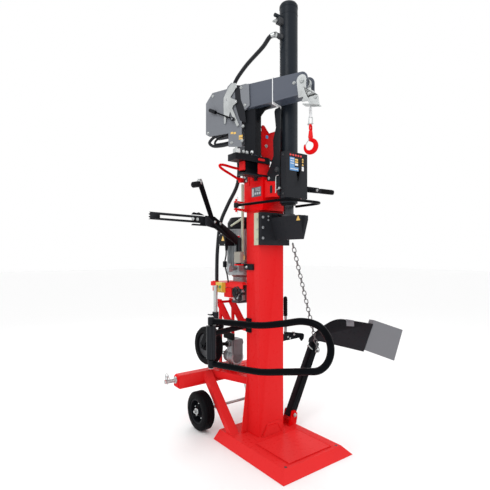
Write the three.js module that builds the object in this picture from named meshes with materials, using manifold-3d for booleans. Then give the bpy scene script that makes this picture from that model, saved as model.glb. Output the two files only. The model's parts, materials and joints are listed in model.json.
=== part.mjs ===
// Vertical hydraulic log splitter with a slewing winch boom, a log lifter, a side guard hoop,
// two control arms and transport wheels.
// Millimetres, +Z up. The origin is on the ground under the middle of the column. The front, where
// the log stands, faces -Y; the tractor hitch is at +Y; the log lifter is on the +X side.
import * as THREE from "three";
import { mergeVertices } from "three/addons/utils/BufferGeometryUtils.js";
import Module from "manifold-3d";

const wasm = await Module();
wasm.setup();

// ---------------------------------------------------------------- driving dimensions
const GAP = 0.3; // between parts that touch
const DEG = Math.PI / 180;

const base = { x: 278, front: -463, rear: 209, height: 50, slope: 48, sheet: 6, pad: 40 };
const logTable = { x: 168, front: -388, rear: -95 };
const column = { x: 100, front: -45, rear: 87, wall: 8, top: 1672 };
const head = { x: 112, front: -92, rear: 99, bottom: 1470, top: 1672 };

const hitch = { x: 374, front: 420, rear: 480, bottom: 292, top: 382, wall: 6 };
const hitchPin = { radius: 14, length: 80, z: 350, block: 50 };
const strut = { inner: 160, outer: 220, foot: 90, footLength: 60 };
const topLink = { x: 55, plate: 10, pinY: 485, pinZ: 845, pinRadius: 9.5 };

const wheel = { radius: 130, width: 82, rim: 80, hub: 41, bore: 10.4, x: 269, y: 384 };
const axleRadius = 10;

const cylinder = { y: -203, radius: 55, bore: 45.4, bottom: 1505, gland: 45, top: 2688 };
const rod = { radius: 31, piston: 45, pistonBottom: 2652, pistonTop: 2684 };
const carriage = { x: 118, front: -84, rear: -57.3, bottom: 1253, top: 1457 };
const wedge = { bottom: 1285, shoulder: 1400, top: 1425, front: -330, edge: 3, half: 38 };
const liner = { outer: 112, rear: -5 };
const cover = { x: 87, front: -275, rear: -229, bottom: 1530, top: 1800, sheet: 4 };
const cheek = { inner: 89, outer: 95 };

const lift = { x: 210, y: 5, z: 117, half: 25, length: 512, wall: 5, lean: 27.6 * DEG, pin: 10 };
const liftPlate = { bottom: 518, top: 702, end: -445, sheet: 8 };
const liftWing = { reach: 178, bottom: 529, top: 730, sheet: 6, fold: 40 * DEG };
const chain = { radius: 7, lug: [132, -92, 1288], lugOnArm: 455, lugSide: 18 };
const latch = { x: 200, z: 634, front: 30, thickness: 12, pin: 8 };

const guard = { x: -455, y: -45, heading: -73 * DEG, tube: 17.5, top: 815, bottom: 572 };
const guardPost = { radius: 28, bottom: 600, top: 788, pin: 10 };

const arm = { x: 150, y: 108, bottom: 1134, top: 1304, tube: 17, pin: 8 };
const leftArm = { heading: 199.4 * DEG, reach: 265, gripHeading: -11.3 * DEG, plate: 10 };
const rightArm = { heading: -17.7 * DEG, top: 1690, reach: 350, z: 1655 };
const finger = { x: -242, y: 6, z: 1496, rod: 8, pin: 6 };

const boom = { x: -165, y: -62, heading: -72 * DEG, bottom: 2077, half: 46, wall: 5 };
const boomEnd = { rear: -64, rearTop: 2225, front: 345, frontTop: 2205, tip: 390 };
const post = { x: 38, y: 32, wall: 5, bottom: 1790 };
const winch = { plate: 6, drumX: -205, drumZ: 2090, drum: 42, flange: 78 };
const sheave = { x: 360, z: 2151, groove: 22, radius: 28, half: 12 };
const rope = { x: 386, radius: 3.6 };

const motor = { y: 275, radius: 95, bottom: 1076, top: 1370 };
const shelf = { x: 135, rear: 470, bottom: 985, top: 1003, sheet: 6 };
const switchBox = { outer: -165, inner: -136, front: 282, rear: 357, bottom: 945, top: 1005 };
const button = { radius: 10, z: 975, out: 6, depth: 8 };
const gearbox = { y: 330, rear: 450, z: 461, radius: 48 };
const jockey = { x: -200, y: 305, tube: 14, trail: 90, wheelZ: 565, wheelRadius: 130, width: 85 };

// ---------------------------------------------------------------- materials
const paint = (color, roughness = 0.35) =>
  new THREE.MeshStandardMaterial({ color, roughness, metalness: 0.1 });
const metal = (color, roughness = 0.4) =>
  new THREE.MeshStandardMaterial({ color, roughness, metalness: 0.9 });

const red = paint(0xd8101a);
const black = paint(0x17181b, 0.3);
const grey = paint(0x565c66);
const lightGrey = paint(0x85888e);
const zinc = metal(0xb9bdbd);
const steel = metal(0x9da0a3, 0.3);
const silver = metal(0xa9adb0, 0.5);
const rubber = new THREE.MeshStandardMaterial({ color: 0x16171a, roughness: 0.85 });
const cream = new THREE.MeshStandardMaterial({ color: 0xc2c6a6, roughness: 0.6 });
const yellow = new THREE.MeshStandardMaterial({ color: 0xd9c02a, roughness: 0.5 });
const green = new THREE.MeshStandardMaterial({ color: 0x2f8a4a, roughness: 0.4 });

// ---------------------------------------------------------------- shapes
function box(x0, x1, y0, y1, z0, z1) {
  const geometry = new THREE.BoxGeometry(x1 - x0, y1 - y0, z1 - z0);
  return geometry.translate((x0 + x1) / 2, (y0 + y1) / 2, (z0 + z1) / 2);
}

function outline(points) {
  return new THREE.Shape(points.map(([a, b]) => new THREE.Vector2(a, b)));
}

// A plate cut to an outline. The outline is drawn across the named axis: in (y, z) for "x", in
// (x, z) for "y" and in (x, y) for "z". It fills the space between from and to on that axis.
function plate(axis, shape, from, to) {
  const drawn = Array.isArray(shape) ? outline(shape) : shape;
  const geometry = new THREE.ExtrudeGeometry(drawn, {
    depth: to - from,
    bevelEnabled: false,
    curveSegments: 12,
  });
  geometry.translate(0, 0, from);
  const turn = new THREE.Matrix4();
  if (axis === "x") turn.set(0, 0, 1, 0, 1, 0, 0, 0, 0, 1, 0, 0, 0, 0, 0, 1);
  if (axis === "y") turn.set(1, 0, 0, 0, 0, 0, -1, 0, 0, 1, 0, 0, 0, 0, 0, 1);
  geometry.applyMatrix4(turn);
  if (axis === "y") geometry.translate(0, from + to, 0);
  return geometry;
}

// A round bar between two points.
function bar(start, end, radius, sides = 20) {
  const a = new THREE.Vector3(...start);
  const b = new THREE.Vector3(...end);
  const along = b.clone().sub(a);
  const geometry = new THREE.CylinderGeometry(radius, radius, along.length(), sides);
  const turn = new THREE.Quaternion().setFromUnitVectors(
    new THREE.Vector3(0, 1, 0),
    along.clone().normalize(),
  );
  geometry.applyQuaternion(turn);
  const middle = a.add(b).multiplyScalar(0.5);
  return geometry.translate(middle.x, middle.y, middle.z);
}

// A body of revolution about the named axis, from a closed profile of (radius, distance) points.
function turned(axis, profile, sides = 32) {
  const closed = [...profile, profile[0]];
  const points = closed.map(([r, h]) => new THREE.Vector2(r, h));
  const geometry = new THREE.LatheGeometry(points, sides);
  if (axis === "z") geometry.rotateX(Math.PI / 2);
  if (axis === "x") geometry.rotateZ(-Math.PI / 2);
  return geometry;
}

// A round section carried along a smooth curve through the points.
function bentBar(points, radius, steps, sides = 10) {
  const path = new THREE.CatmullRomCurve3(
    points.map((p) => new THREE.Vector3(...p)),
    false,
    "centripetal",
  );
  const section = new THREE.Shape();
  for (let i = 0; i < sides; i += 1) {
    const angle = (i / sides) * 2 * Math.PI;
    const x = radius * Math.cos(angle);
    const y = radius * Math.sin(angle);
    if (i === 0) section.moveTo(x, y);
    else section.lineTo(x, y);
  }
  section.closePath();
  return new THREE.ExtrudeGeometry(section, { steps, extrudePath: path, bevelEnabled: false });
}

// A four-sided block whose lower and upper rectangles differ.
function frustum(low, high, z0, z1) {
  const corners = ([x0, x1, y0, y1], z) => [
    [x0, y0, z],
    [x1, y0, z],
    [x1, y1, z],
    [x0, y1, z],
  ];
  const points = [...corners(low, z0), ...corners(high, z1)];
  const geometry = new THREE.BufferGeometry();
  geometry.setAttribute("position", new THREE.Float32BufferAttribute(points.flat(), 3));
  const faces = [0, 2, 1, 0, 3, 2, 4, 5, 6, 4, 6, 7];
  for (let i = 0; i < 4; i += 1) {
    const j = (i + 1) % 4;
    faces.push(i, j, j + 4, i, j + 4, i + 4);
  }
  geometry.setIndex(faces);
  return geometry;
}

// ---------------------------------------------------------------- cutting and joining
function solid(geometry) {
  const bare = geometry.clone();
  bare.deleteAttribute("normal");
  bare.deleteAttribute("uv");
  const merged = mergeVertices(bare, 1e-3);
  const mesh = new wasm.Mesh({
    numProp: 3,
    vertProperties: new Float32Array(merged.attributes.position.array),
    triVerts: new Uint32Array(merged.index.array),
  });
  mesh.merge();
  return new wasm.Manifold(mesh);
}

function geometryOf(body) {
  const mesh = body.getMesh();
  const geometry = new THREE.BufferGeometry();
  const positions = new Float32Array(mesh.vertProperties);
  geometry.setAttribute("position", new THREE.BufferAttribute(positions, 3));
  geometry.setIndex(new THREE.BufferAttribute(new Uint32Array(mesh.triVerts), 1));
  geometry.computeVertexNormals();
  return geometry;
}

function join(...pieces) {
  return geometryOf(pieces.map(solid).reduce((sum, next) => sum.add(next)));
}

function cut(body, ...tools) {
  return geometryOf(tools.map(solid).reduce((rest, tool) => rest.subtract(tool), solid(body)));
}

function mirrorX(points) {
  return points.map(([x, ...rest]) => [-x, ...rest]).reverse();
}

// ---------------------------------------------------------------- scene
const splitter = new THREE.Group();

function add(name, geometry, material, parent = splitter) {
  const mesh = new THREE.Mesh(geometry, material);
  mesh.name = name;
  parent.add(mesh);
  return mesh;
}

function groupAt(x, y, z, parent = splitter) {
  const group = new THREE.Group();
  group.position.set(x, y, z);
  parent.add(group);
  return group;
}

// ---------------------------------------------------------------- base, column and head
function makeBase() {
  const { x, front, rear, height, slope, sheet, pad } = base;
  const { x: tableX, front: tableFront, rear: tableRear } = logTable;
  const outer = frustum([-x, x, front, rear], [-x + slope, x - slope, front + slope, rear], 0, height);
  const reach = x - sheet;
  const low = [-reach, reach, front + sheet, rear - sheet];
  const top = x - slope - sheet;
  const high = [-top, top, front + slope + sheet, rear - sheet];
  const shell = cut(outer, frustum(low, high, -1, height - sheet));
  const foot = box(-pad, pad, -pad, pad, 0, height - 1);
  const table = box(-tableX, tableX, tableFront, tableRear, height - 1, height + 4);
  add("base_pan", join(shell, foot, table), red);
}

function makeColumn() {
  const { x, front, rear, wall, top } = column;
  const foot = base.height + GAP;
  const tube = cut(
    box(-x, x, front, rear, foot, top),
    box(-x + wall, x - wall, front + wall, rear - wall, foot - 1, top + 1),
  );
  const gusset = [
    [-x + 2, foot],
    [-150, foot],
    [-x - 5, 400],
    [-x + 2, 400],
  ];
  const footPlate = [
    [-80, foot],
    [92, foot],
    [66, 126],
    [-36, 126],
  ];
  const hinges = [-1, 1].map((side) => controlHinge(side));
  const latchLug = [
    [x - 2, latch.z - 24],
    [latch.x + 14, latch.z - 16],
    [latch.x + 14, latch.z + 14],
    [x - 2, latch.z + 24],
  ];
  const body = join(
    tube,
    plate("y", gusset, 72, 80),
    plate("y", mirrorX(gusset), 72, 80),
    plate("y", footPlate, front - 8, front + 2),
    plate("y", latchLug, latch.front - 12, latch.front),
    bar([latch.x, latch.front - 2, latch.z], [latch.x, latch.front + 15, latch.z], latch.pin),
    ...hinges,
  );
  add("column", body, red);
}

// The bracket on the column's side, with the upright pin that a control arm turns on.
function controlHinge(side) {
  const left = (low, high) => (side < 0 ? [-high, -low] : [low, high]);
  const [a0, a1] = left(column.x - 2, 112);
  const [b0, b1] = left(column.x - 2, arm.x + 20);
  const pinTop = side < 0 ? arm.top + 12 : rightArm.top + 12;
  return join(
    box(a0, a1, 10, 90, 1098, 1133),
    box(b0, b1, 80, 128, 1125, 1133),
    bar([side * arm.x, arm.y, 1130], [side * arm.x, arm.y, pinTop], arm.pin),
  );
}

function makeHead() {
  const { x, front, rear, bottom, top } = head;
  const block = box(-x, x, front, rear, bottom, top);
  const bore = box(
    -column.x - GAP,
    column.x + GAP,
    column.front - GAP,
    column.rear + GAP,
    bottom - 1,
    top + 1,
  );
  const tab = [
    [-x + 4, 40],
    [-x + 4, 78],
    [finger.x - 6, finger.y + 18],
    [finger.x - 16, finger.y - 8],
    [finger.x + 6, finger.y - 16],
  ];
  const body = join(
    cut(block, bore),
    plate("z", tab, finger.z + 18, finger.z + 26),
    plate("z", tab, finger.z - 26, finger.z - 18),
    bar([finger.x, finger.y, finger.z - 40], [finger.x, finger.y, finger.z + 40], finger.pin, 12),
    bar([10, front + 2, 1655], [10, front - 14, 1655], 7),
  );
  add("head_collar", body, red);
}

function makeLockingLever() {
  const lever = new THREE.Shape();
  lever.absarc(10, 1655, 13, 0, Math.PI, false);
  lever.lineTo(3, 1578);
  lever.lineTo(19, 1574);
  lever.closePath();
  const eye = new THREE.Path();
  eye.absarc(10, 1655, 7.4, 0, 2 * Math.PI, true);
  lever.holes.push(eye);
  const knob = bar([12, head.front - 8, 1588], [12, head.front - 32, 1588], 8);
  add("locking_lever", join(plate("y", lever, head.front - 10, head.front - 3), knob), zinc);
}

// ---------------------------------------------------------------- hitch frame and wheels
function makeHitch() {
  const { x, front, rear, bottom, top, wall } = hitch;
  const beam = cut(
    box(-x, x, front, rear, bottom, top),
    box(-x - 1, x + 1, front + wall, rear - wall, bottom + wall, top - wall),
  );
  const brace = [
    [-155, front + 1],
    [-50, column.rear + GAP],
    [2, column.rear + GAP],
    [-102, front + 1],
  ];
  const braces = [brace, mirrorX(brace)].map((p) => plate("z", p, top - 50, top - 2));
  add("hitch_beam", join(beam, ...braces), red);
  for (const side of [-1, 1]) makeHitchPin(side);
  for (const side of [-1, 1]) makeStrut(side);
}

function makeHitchPin(side) {
  const name = side < 0 ? "hitch_pin_left" : "hitch_pin_right";
  const inner = hitch.x + GAP;
  const outer = inner + hitchPin.block;
  const profile = [
    [inner, hitch.bottom],
    [outer - 14, hitch.bottom],
    [outer, hitch.bottom + 14],
    [outer, hitch.top - 14],
    [outer - 14, hitch.top],
    [inner, hitch.top],
  ];
  const block = plate("y", side < 0 ? mirrorX(profile) : profile, hitch.front, hitch.rear);
  const y = (hitch.front + hitch.rear) / 2;
  const z = hitchPin.z;
  const tip = outer + hitchPin.length;
  const pin = bar([side * (outer - 4), y, z], [side * tip, y, z], hitchPin.radius);
  const collar = bar([side * (outer - 2), y, z], [side * (outer + 8), y, z], 22);
  add(name, join(block, pin, collar), red);
}

function makeStrut(side) {
  const foot = base.height + GAP;
  const end = hitch.front - GAP;
  const profile = [
    [strut.foot, foot],
    [strut.foot + strut.footLength, foot],
    [end, hitch.top - 62],
    [end, hitch.top - 2],
  ];
  const [from, to] = side < 0 ? [-strut.outer, -strut.inner] : [strut.inner, strut.outer];
  add(side < 0 ? "strut_left" : "strut_right", plate("x", profile, from, to), red);
}

function makeAxle() {
  const hanger = [
    [hitch.front + 4, hitch.bottom - GAP],
    [hitch.front - 22 + 75, hitch.bottom - GAP],
    [wheel.y + 16, wheel.radius - 16],
    [wheel.y - 16, wheel.radius - 16],
    [wheel.y - 16, wheel.radius + 20],
  ];
  const body = join(
    bar([-320, wheel.y, wheel.radius], [320, wheel.y, wheel.radius], axleRadius),
    plate("x", hanger, -150, -142),
    plate("x", hanger, 142, 150),
  );
  add("axle", body, red);
}

function rimProfile(halfWidth, bore) {
  const half = [
    [bore, -halfWidth + 4],
    [wheel.hub, -halfWidth + 4],
    [wheel.hub, -12],
    [wheel.rim - 10, -12],
    [wheel.rim - 6, -halfWidth],
    [wheel.rim, -halfWidth],
  ];
  const other = half.map(([r, h]) => [r, -h]).reverse();
  return [...half, ...other];
}

function tyreProfile(radius, halfWidth, inner) {
  const half = [
    [inner, -halfWidth + 5],
    [inner + 6, -halfWidth],
    [radius - 14, -halfWidth],
    [radius - 4, -halfWidth + 6],
    [radius, -halfWidth + 16],
  ];
  const other = half.map(([r, h]) => [r, -h]).reverse();
  return [...half, ...other];
}

function makeWheels() {
  for (const side of [-1, 1]) {
    const suffix = side < 0 ? "left" : "right";
    const hub = groupAt(side * wheel.x, wheel.y, wheel.radius);
    const half = wheel.width / 2;
    const tyre = turned("x", tyreProfile(wheel.radius, half, wheel.rim + GAP), 40);
    add(`tyre_${suffix}`, tyre, rubber, hub);
    add(`rim_${suffix}`, turned("x", rimProfile(half - 5, wheel.bore), 32), silver, hub);
  }
}

function makeTopLink() {
  const arms = [
    [column.rear + GAP, 680],
    [375, 690],
    [512, 835],
    [505, 868],
    [455, 868],
    [330, 735],
    [column.rear + GAP, 735],
  ];
  const upright = [
    [448, hitch.top + GAP],
    [478, hitch.top + GAP],
    [478, 850],
    [448, 850],
  ];
  const pieces = [];
  for (const side of [-1, 1]) {
    const from = side < 0 ? -topLink.x - topLink.plate / 2 : topLink.x - topLink.plate / 2;
    pieces.push(plate("x", arms, from, from + topLink.plate));
    pieces.push(plate("x", upright, from, from + topLink.plate));
  }
  const { pinY: y, pinZ: z } = topLink;
  pieces.push(bar([-78, y, z], [78, y, z], topLink.pinRadius));
  pieces.push(box(-topLink.x, topLink.x, 310, 470, 395, 405));
  add("top_link_bracket", join(...pieces), red);
}

// ---------------------------------------------------------------- cylinder and splitting carriage
function makeCylinder() {
  const { y, radius, bore, bottom, gland, top } = cylinder;
  const rodBore = rod.radius + 0.4;
  const profile = [
    [rodBore, bottom],
    [radius, bottom],
    [radius, top],
    [bore, top],
    [bore, bottom + gland],
    [rodBore, bottom + gland],
  ];
  const tube = turned("z", profile, 40).translate(0, y, 0);
  const trunnion = (side) => bar([side * 50, y, 1700], [side * (cheek.inner - GAP), y, 1700], 18);
  const port = (z, reach) => bar([-52, y, z], [-reach, y, z], 11, 12);
  const body = join(tube, trunnion(-1), trunnion(1), port(2498, 98), port(2614, 112));
  add("cylinder_tube", body, grey);
  const cap = [
    [0, top + GAP],
    [radius + 1, top + GAP],
    [radius + 1, top + 12],
    [radius - 6, top + 24],
    [radius - 24, top + 31],
    [0, top + 34],
  ];
  const lid = new THREE.LatheGeometry(cap.map(([r, h]) => new THREE.Vector2(r, h)), 40);
  add("cylinder_cap", lid.rotateX(Math.PI / 2).translate(0, y, 0), grey);
}

function makeRod() {
  const { radius, piston, pistonBottom, pistonTop } = rod;
  const profile = [
    [0, wedge.top + GAP],
    [radius, wedge.top + GAP],
    [radius, pistonBottom],
    [piston, pistonBottom],
    [piston, pistonTop],
    [0, pistonTop],
  ];
  const points = profile.map(([r, h]) => new THREE.Vector2(r, h));
  const body = new THREE.LatheGeometry(points, 40).rotateX(Math.PI / 2);
  add("piston_rod", body.translate(0, cylinder.y, 0), steel);
}

function makeCarriage() {
  const { x, front, rear, bottom, top } = carriage;
  const lug = [chain.lug[0], chain.lug[1] + 10, chain.lug[2]];
  const body = join(
    box(-x, x, front, rear, bottom, top),
    box(x - 2, lug[0] + 10, lug[1] - 8, rear - 2, lug[2] + 8, lug[2] + 34),
  );
  add("carriage", body, black);
  const inner = column.x + 0.5;
  const innerFront = column.front - 0.5;
  const outerFront = rear + GAP;
  const profile = [
    [-liner.outer, liner.rear],
    [-liner.outer, outerFront],
    [liner.outer, outerFront],
    [liner.outer, liner.rear],
    [inner, liner.rear],
    [inner, innerFront],
    [-inner, innerFront],
    [-inner, liner.rear],
  ];
  add("guide_liner", plate("z", profile, bottom + 1, top - 1), cream);
}

function makeWedge() {
  const { bottom, shoulder, top, front, edge, half } = wedge;
  const section = [
    [-edge, bottom],
    [edge, bottom],
    [half, shoulder],
    [half, top],
    [-half, top],
    [-half, shoulder],
  ];
  const nose = [
    [front + 40, bottom + 10],
    [front + 2, bottom + 14],
    [front - 20, shoulder + 3],
    [front - 8, top],
    [front + 40, top],
  ];
  const blade = plate("y", section, front, carriage.front - GAP);
  add("splitting_wedge", join(blade, plate("x", nose, -6, 6)), black);
}

function makeCover() {
  const { x, front, rear, bottom, top, sheet } = cover;
  const profile = [
    [-x, rear],
    [-x, front],
    [x, front],
    [x, rear],
    [x - sheet, rear],
    [x - sheet, front + sheet],
    [-x + sheet, front + sheet],
    [-x + sheet, rear],
  ];
  const slot = [
    [-8, 1700],
    [28, 1700],
    [8, 1628],
  ];
  const shell = plate("z", profile, bottom, top);
  add("cylinder_cover", cut(shell, plate("y", slot, front - 5, front + sheet + 5)), black);
  const low = [
    [rear + 1, 1545],
    [-206, 1545],
    [-198, 1632],
    [-113, 1645],
    [-113, 1690],
    [-136, 1722],
    [-172, 1786],
  ];
  const left = [...low, [-168, 1884], [-194, 1950], [-180, 2050], [-190, 2064], [rear + 1, 2064]];
  const right = [...low, [-180, 1800], [rear + 1, 1800]];
  add("cheek_left", plate("x", left, -cheek.outer, -cheek.inner), black);
  add("cheek_right", plate("x", right, cheek.inner, cheek.outer), black);
}

// ---------------------------------------------------------------- log lifter
function makeLift() {
  const { x, y, z, half, length, wall, lean, pin } = lift;
  const ear = [
    [165, base.height + GAP],
    [229, base.height + GAP],
    [240, 96],
    [240, 122],
    [222, 144],
    [196, 144],
  ];
  const foot = [
    [165, base.height + GAP],
    [229, base.height + GAP],
    [229, base.height + 7],
    [165, base.height + 7],
  ];
  const bracket = join(
    plate("y", ear, y - half - 12, y - half - 1),
    plate("y", ear, y + half + 1, y + half + 12),
    plate("y", foot, y - half - 12, y + half + 12),
    bar([x, y - half - 18, z], [x, y + half + 18, z], pin),
  );
  add("lift_bracket", bracket, red);

  const group = groupAt(x, y, z);
  group.rotation.y = lean;
  const tube = cut(
    box(-half, half, -half, half, -22, length),
    box(-half + wall, half - wall, -half + wall, half - wall, -23, length + 1),
  );
  const boss = bar([0, -half, 0], [0, half, 0], pin + 8);
  const bore = bar([0, -half - 5, 0], [0, half + 5, 0], pin + 0.4);
  const { lugSide: lugX, lugOnArm: lugZ } = chain;
  const lug = bar([lugX, -half + 1, lugZ], [lugX, -half - 22, lugZ], 7);
  add("lift_arm", join(cut(join(tube, boss), bore), lug), black, group);

  const inner = -half - GAP;
  const { bottom, top, end } = liftPlate;
  const corner = new THREE.Shape();
  corner.moveTo(-72, bottom);
  corner.lineTo(half, 494);
  corner.lineTo(half + 6, 520);
  corner.splineThru(
    [
      [-10, 578],
      [-63, 633],
      [-125, 679],
      [-185, 699],
      [-245, top],
    ].map(([y, z]) => new THREE.Vector2(y, z)),
  );
  corner.lineTo(end, top);
  corner.lineTo(end + 9, bottom - 2);
  corner.closePath();
  add("lift_plate", plate("x", corner, inner - liftPlate.sheet, inner), black, group);

  const root = inner + GAP;
  const { reach, sheet, fold } = liftWing;
  const start = end + 40;
  const knee = end + 5;
  const dx = reach * Math.sin(fold);
  const dy = -reach * Math.cos(fold);
  const wing = [
    [root + sheet, start],
    [root, start],
    [root, knee],
    [root + dx, knee + dy],
    [root + dx + sheet, knee + dy],
    [root + sheet, knee + 2],
  ];
  add("lift_wing", plate("z", wing, liftWing.bottom, liftWing.top), lightGrey, group);
}

function makeChain() {
  const { lugOnArm: along, lugSide: side } = chain;
  const end = [
    lift.x + along * Math.sin(lift.lean) + side * Math.cos(lift.lean),
    lift.y - lift.half - 12,
    lift.z + along * Math.cos(lift.lean) - side * Math.sin(lift.lean),
  ];
  const start = [chain.lug[0], chain.lug[1], chain.lug[2] + 4];
  add("lift_chain", bar(start, shorten(start, end, 18), chain.radius, 8), zinc);
}

// The point that lies short of the end of a line by the given distance.
function shorten(start, end, by) {
  const a = new THREE.Vector3(...start);
  const b = new THREE.Vector3(...end);
  const back = a.sub(b).normalize().multiplyScalar(by);
  return b.add(back).toArray();
}

function makeLatch() {
  const { x, z, front, thickness, pin } = latch;
  const shape = outline([
    [x - 16, z + 14],
    [x - 16, z - 12],
    [x + 10, z - 26],
    [x + 130, z - 26],
    [x + 148, z - 50],
    [x + 166, z - 34],
    [x + 170, z - 8],
    [x + 70, z + 16],
    [x + 14, z + 22],
    [x + 2, z + 250],
    [x - 15, z + 250],
  ]);
  const eye = new THREE.Path();
  eye.absarc(x, z, pin + 0.4, 0, 2 * Math.PI, true);
  shape.holes.push(eye);
  const from = front + GAP;
  const gripY = from + thickness / 2;
  const grip = bar([x - 6, gripY, z + 146], [x - 7, gripY, z + 262], 13);
  add("latch_hook", join(plate("y", shape, from, from + thickness), grip), zinc);
}

// ---------------------------------------------------------------- side guard hoop
function makeGuard() {
  const { x, y, heading, tube, top, bottom } = guard;
  const { radius, pin } = guardPost;
  const z = 740;
  const post = join(
    bar([x, y, guardPost.bottom], [x, y, guardPost.top], radius, 24),
    bar([x, y, bottom - 26], [x, y, top + 26], pin, 16),
    bar([x + 5, y + 2, z], [-column.x - 8, 60, z], 17, 16),
    box(-column.x - 10, -column.x - GAP, 34, 84, z - 45, z + 45),
  );
  add("guard_post", post, black);

  const group = groupAt(x, y, 0);
  group.rotation.z = heading;
  const rise = 57;
  const middle = (top + bottom) / 2 + rise;
  const reach = (top - bottom) / 2;
  const turnAt = 612;
  const path = [
    [14, 0, top],
    [180, 0, top + 4],
    [340, 0, top + 10],
    [480, 0, top + 34],
    [turnAt - 20, 0, top + rise - 2],
  ];
  for (let step = 1; step <= 5; step += 1) {
    const angle = (90 - step * 30) * DEG;
    path.push([turnAt + reach * Math.cos(angle), 0, middle + reach * Math.sin(angle)]);
  }
  const back = [
    [turnAt - 20, 0, bottom + rise - 2],
    [480, 0, bottom + 34],
    [340, 0, bottom + 10],
    [180, 0, bottom + 4],
    [14, 0, bottom],
  ];
  const hoop = bentBar([...path, ...back], tube, 64, 12);
  const eye = (height) => bar([0, 0, height - 21], [0, 0, height + 21], 19, 24);
  const bore = bar([0, 0, bottom - 40], [0, 0, top + 40], pin + 0.4, 16);
  add("guard_hoop", cut(join(hoop, eye(top), eye(bottom)), bore), black, group);
}

// ---------------------------------------------------------------- control arms
function makeLeftArm() {
  const { heading, reach, gripHeading, plate: thick } = leftArm;
  const group = groupAt(-arm.x, arm.y, 0);
  group.rotation.z = heading;
  const diagonal = [
    [0, 1255],
    [16, 1255],
    [reach - 20, 1350],
    [reach + 70, 1362],
    [reach + 70, 1420],
    [reach - 10, 1420],
    [0, 1304],
  ];
  const handle = [
    [reach - 8, 1400],
    [reach + 24, 1396],
    [reach + 140, 1604],
    [reach + 134, 1622],
    [reach + 116, 1626],
    [reach + 106, 1616],
  ];
  const crank = bar([reach + 122, 0, 1610], [reach + 158, 0, 1590], 9, 12);
  const grip = bar([reach + 156, -24, 1588], [reach + 156, 24, 1588], 15);
  const sleeve = bar([0, 0, arm.bottom], [0, 0, arm.top], arm.tube, 24);
  const bore = bar([0, 0, arm.bottom - 5], [0, 0, arm.top + 5], arm.pin + 0.4, 16);
  const body = join(
    sleeve,
    plate("y", diagonal, -thick / 2, thick / 2),
    plate("y", handle, -thick / 2, thick / 2),
    crank,
    grip,
  );
  add("control_arm_left", cut(body, bore), black, group);

  const gripper = groupAt(reach + 14, 0, 0, group);
  gripper.rotation.z = gripHeading;
  const teeth = [];
  for (let i = 0; i < 3; i += 1) {
    const z = 1378 + i * 14;
    teeth.push([408, z + 2], [398, z + 9]);
  }
  const blade = outline([[20, 1366], [58, 1366], [66, 1378], ...teeth, [404, 1420], [58, 1420], [20, 1418]]);
  const slot = new THREE.Path();
  slot.moveTo(120, 1391);
  slot.lineTo(120, 1407);
  slot.lineTo(342, 1407);
  slot.lineTo(342, 1391);
  slot.closePath();
  blade.holes.push(slot);
  const y = thick / 2 + GAP;
  add("gripper_bar", plate("y", blade, -y - 16 - 8, -y - 16), black, gripper);
}

function makeRightArm() {
  const { heading, top, reach, z } = rightArm;
  const group = groupAt(arm.x, arm.y, 0);
  group.rotation.z = heading;
  const lever = [
    [0, z - 26],
    [reach - 100, z - 16],
    [reach - 4, z - 19],
    [reach + 12, z - 10],
    [reach + 12, z + 10],
    [reach - 4, z + 19],
    [0, z + 40],
  ];
  const sleeve = bar([0, 0, arm.bottom], [0, 0, top], arm.tube, 24);
  const bore = bar([0, 0, arm.bottom - 5], [0, 0, top + 5], arm.pin + 0.4, 16);
  const grip = bar([reach - 10, 0, z - 2], [reach + 120, 0, z - 8], 17);
  const body = cut(join(sleeve, plate("y", lever, -5, 5), grip), bore);
  add("control_arm_right", body, black, group);
}

function makeFingerHoop() {
  const { x, y, z, rod: radius, pin } = finger;
  const path = [
    [x + 2, y - 10, z],
    [x + 26, -190, z],
    [-194, -350, z],
    [-176, -388, z],
    [-130, -396, z],
    [0, -398, z],
    [56, -394, z],
    [84, -372, z],
    [92, -330, z],
    [92, -172, z],
  ];
  const hoop = bentBar(path, radius, 48, 10);
  const eye = bar([x, y, z - 14], [x, y, z + 14], 15);
  const bore = bar([x, y, z - 30], [x, y, z + 30], pin + 0.4, 12);
  add("finger_hoop", cut(join(hoop, eye), bore), black);
}

function makeStrokeRod() {
  const x = -118;
  const y = 108;
  const link = bar([x, y, 1432], [x - 10, y + 115, 1388], 7, 12);
  const body = join(
    bar([x, y, 1140], [x, y, 1652], 9, 16),
    bar([x, y, 1160], [x, y, 1185], 14, 6),
    link,
  );
  add("stroke_rod", body, cream);
}

function makeLoopHandle() {
  const path = [
    [-head.x - 6, 72, 1656],
    [-200, 86, 1706],
    [-288, 98, 1752],
    [-300, 102, 1750],
    [-292, 102, 1738],
    [-210, 92, 1680],
    [-head.x - 6, 84, 1612],
  ];
  add("loop_handle", bentBar(path, 8, 40, 10), red);
}

// ---------------------------------------------------------------- winch boom
function makeSwivelBase() {
  const bearing = new THREE.Shape();
  bearing.moveTo(-322, -104);
  bearing.lineTo(-82, -104);
  bearing.absarc(-82, boom.y, 42, -Math.PI / 2, Math.PI / 2, false);
  bearing.lineTo(-322, -20);
  bearing.closePath();
  const foot = [
    [-262, -90],
    [60, -90],
    [60, -30],
    [-262, -30],
  ];
  const rib = [
    [-240, 1680],
    [-80, 1680],
    [-80, 1756],
    [-240, 1756],
  ];
  const hornPlate = [
    [-90, post.bottom - 8],
    [22, post.bottom - 8],
    [22, 1925],
    [-20, 1940],
    [-52, 1972],
    [-84, 1978],
    [-90, 1960],
  ];
  const body = join(
    plate("z", bearing, 1752, post.bottom - GAP),
    plate("z", foot, head.top + GAP, 1684),
    plate("y", rib, -90, -82),
    plate("y", rib, -38, -30),
    plate("y", hornPlate, -66, -60),
  );
  add("swivel_base", body, black);
}

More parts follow.
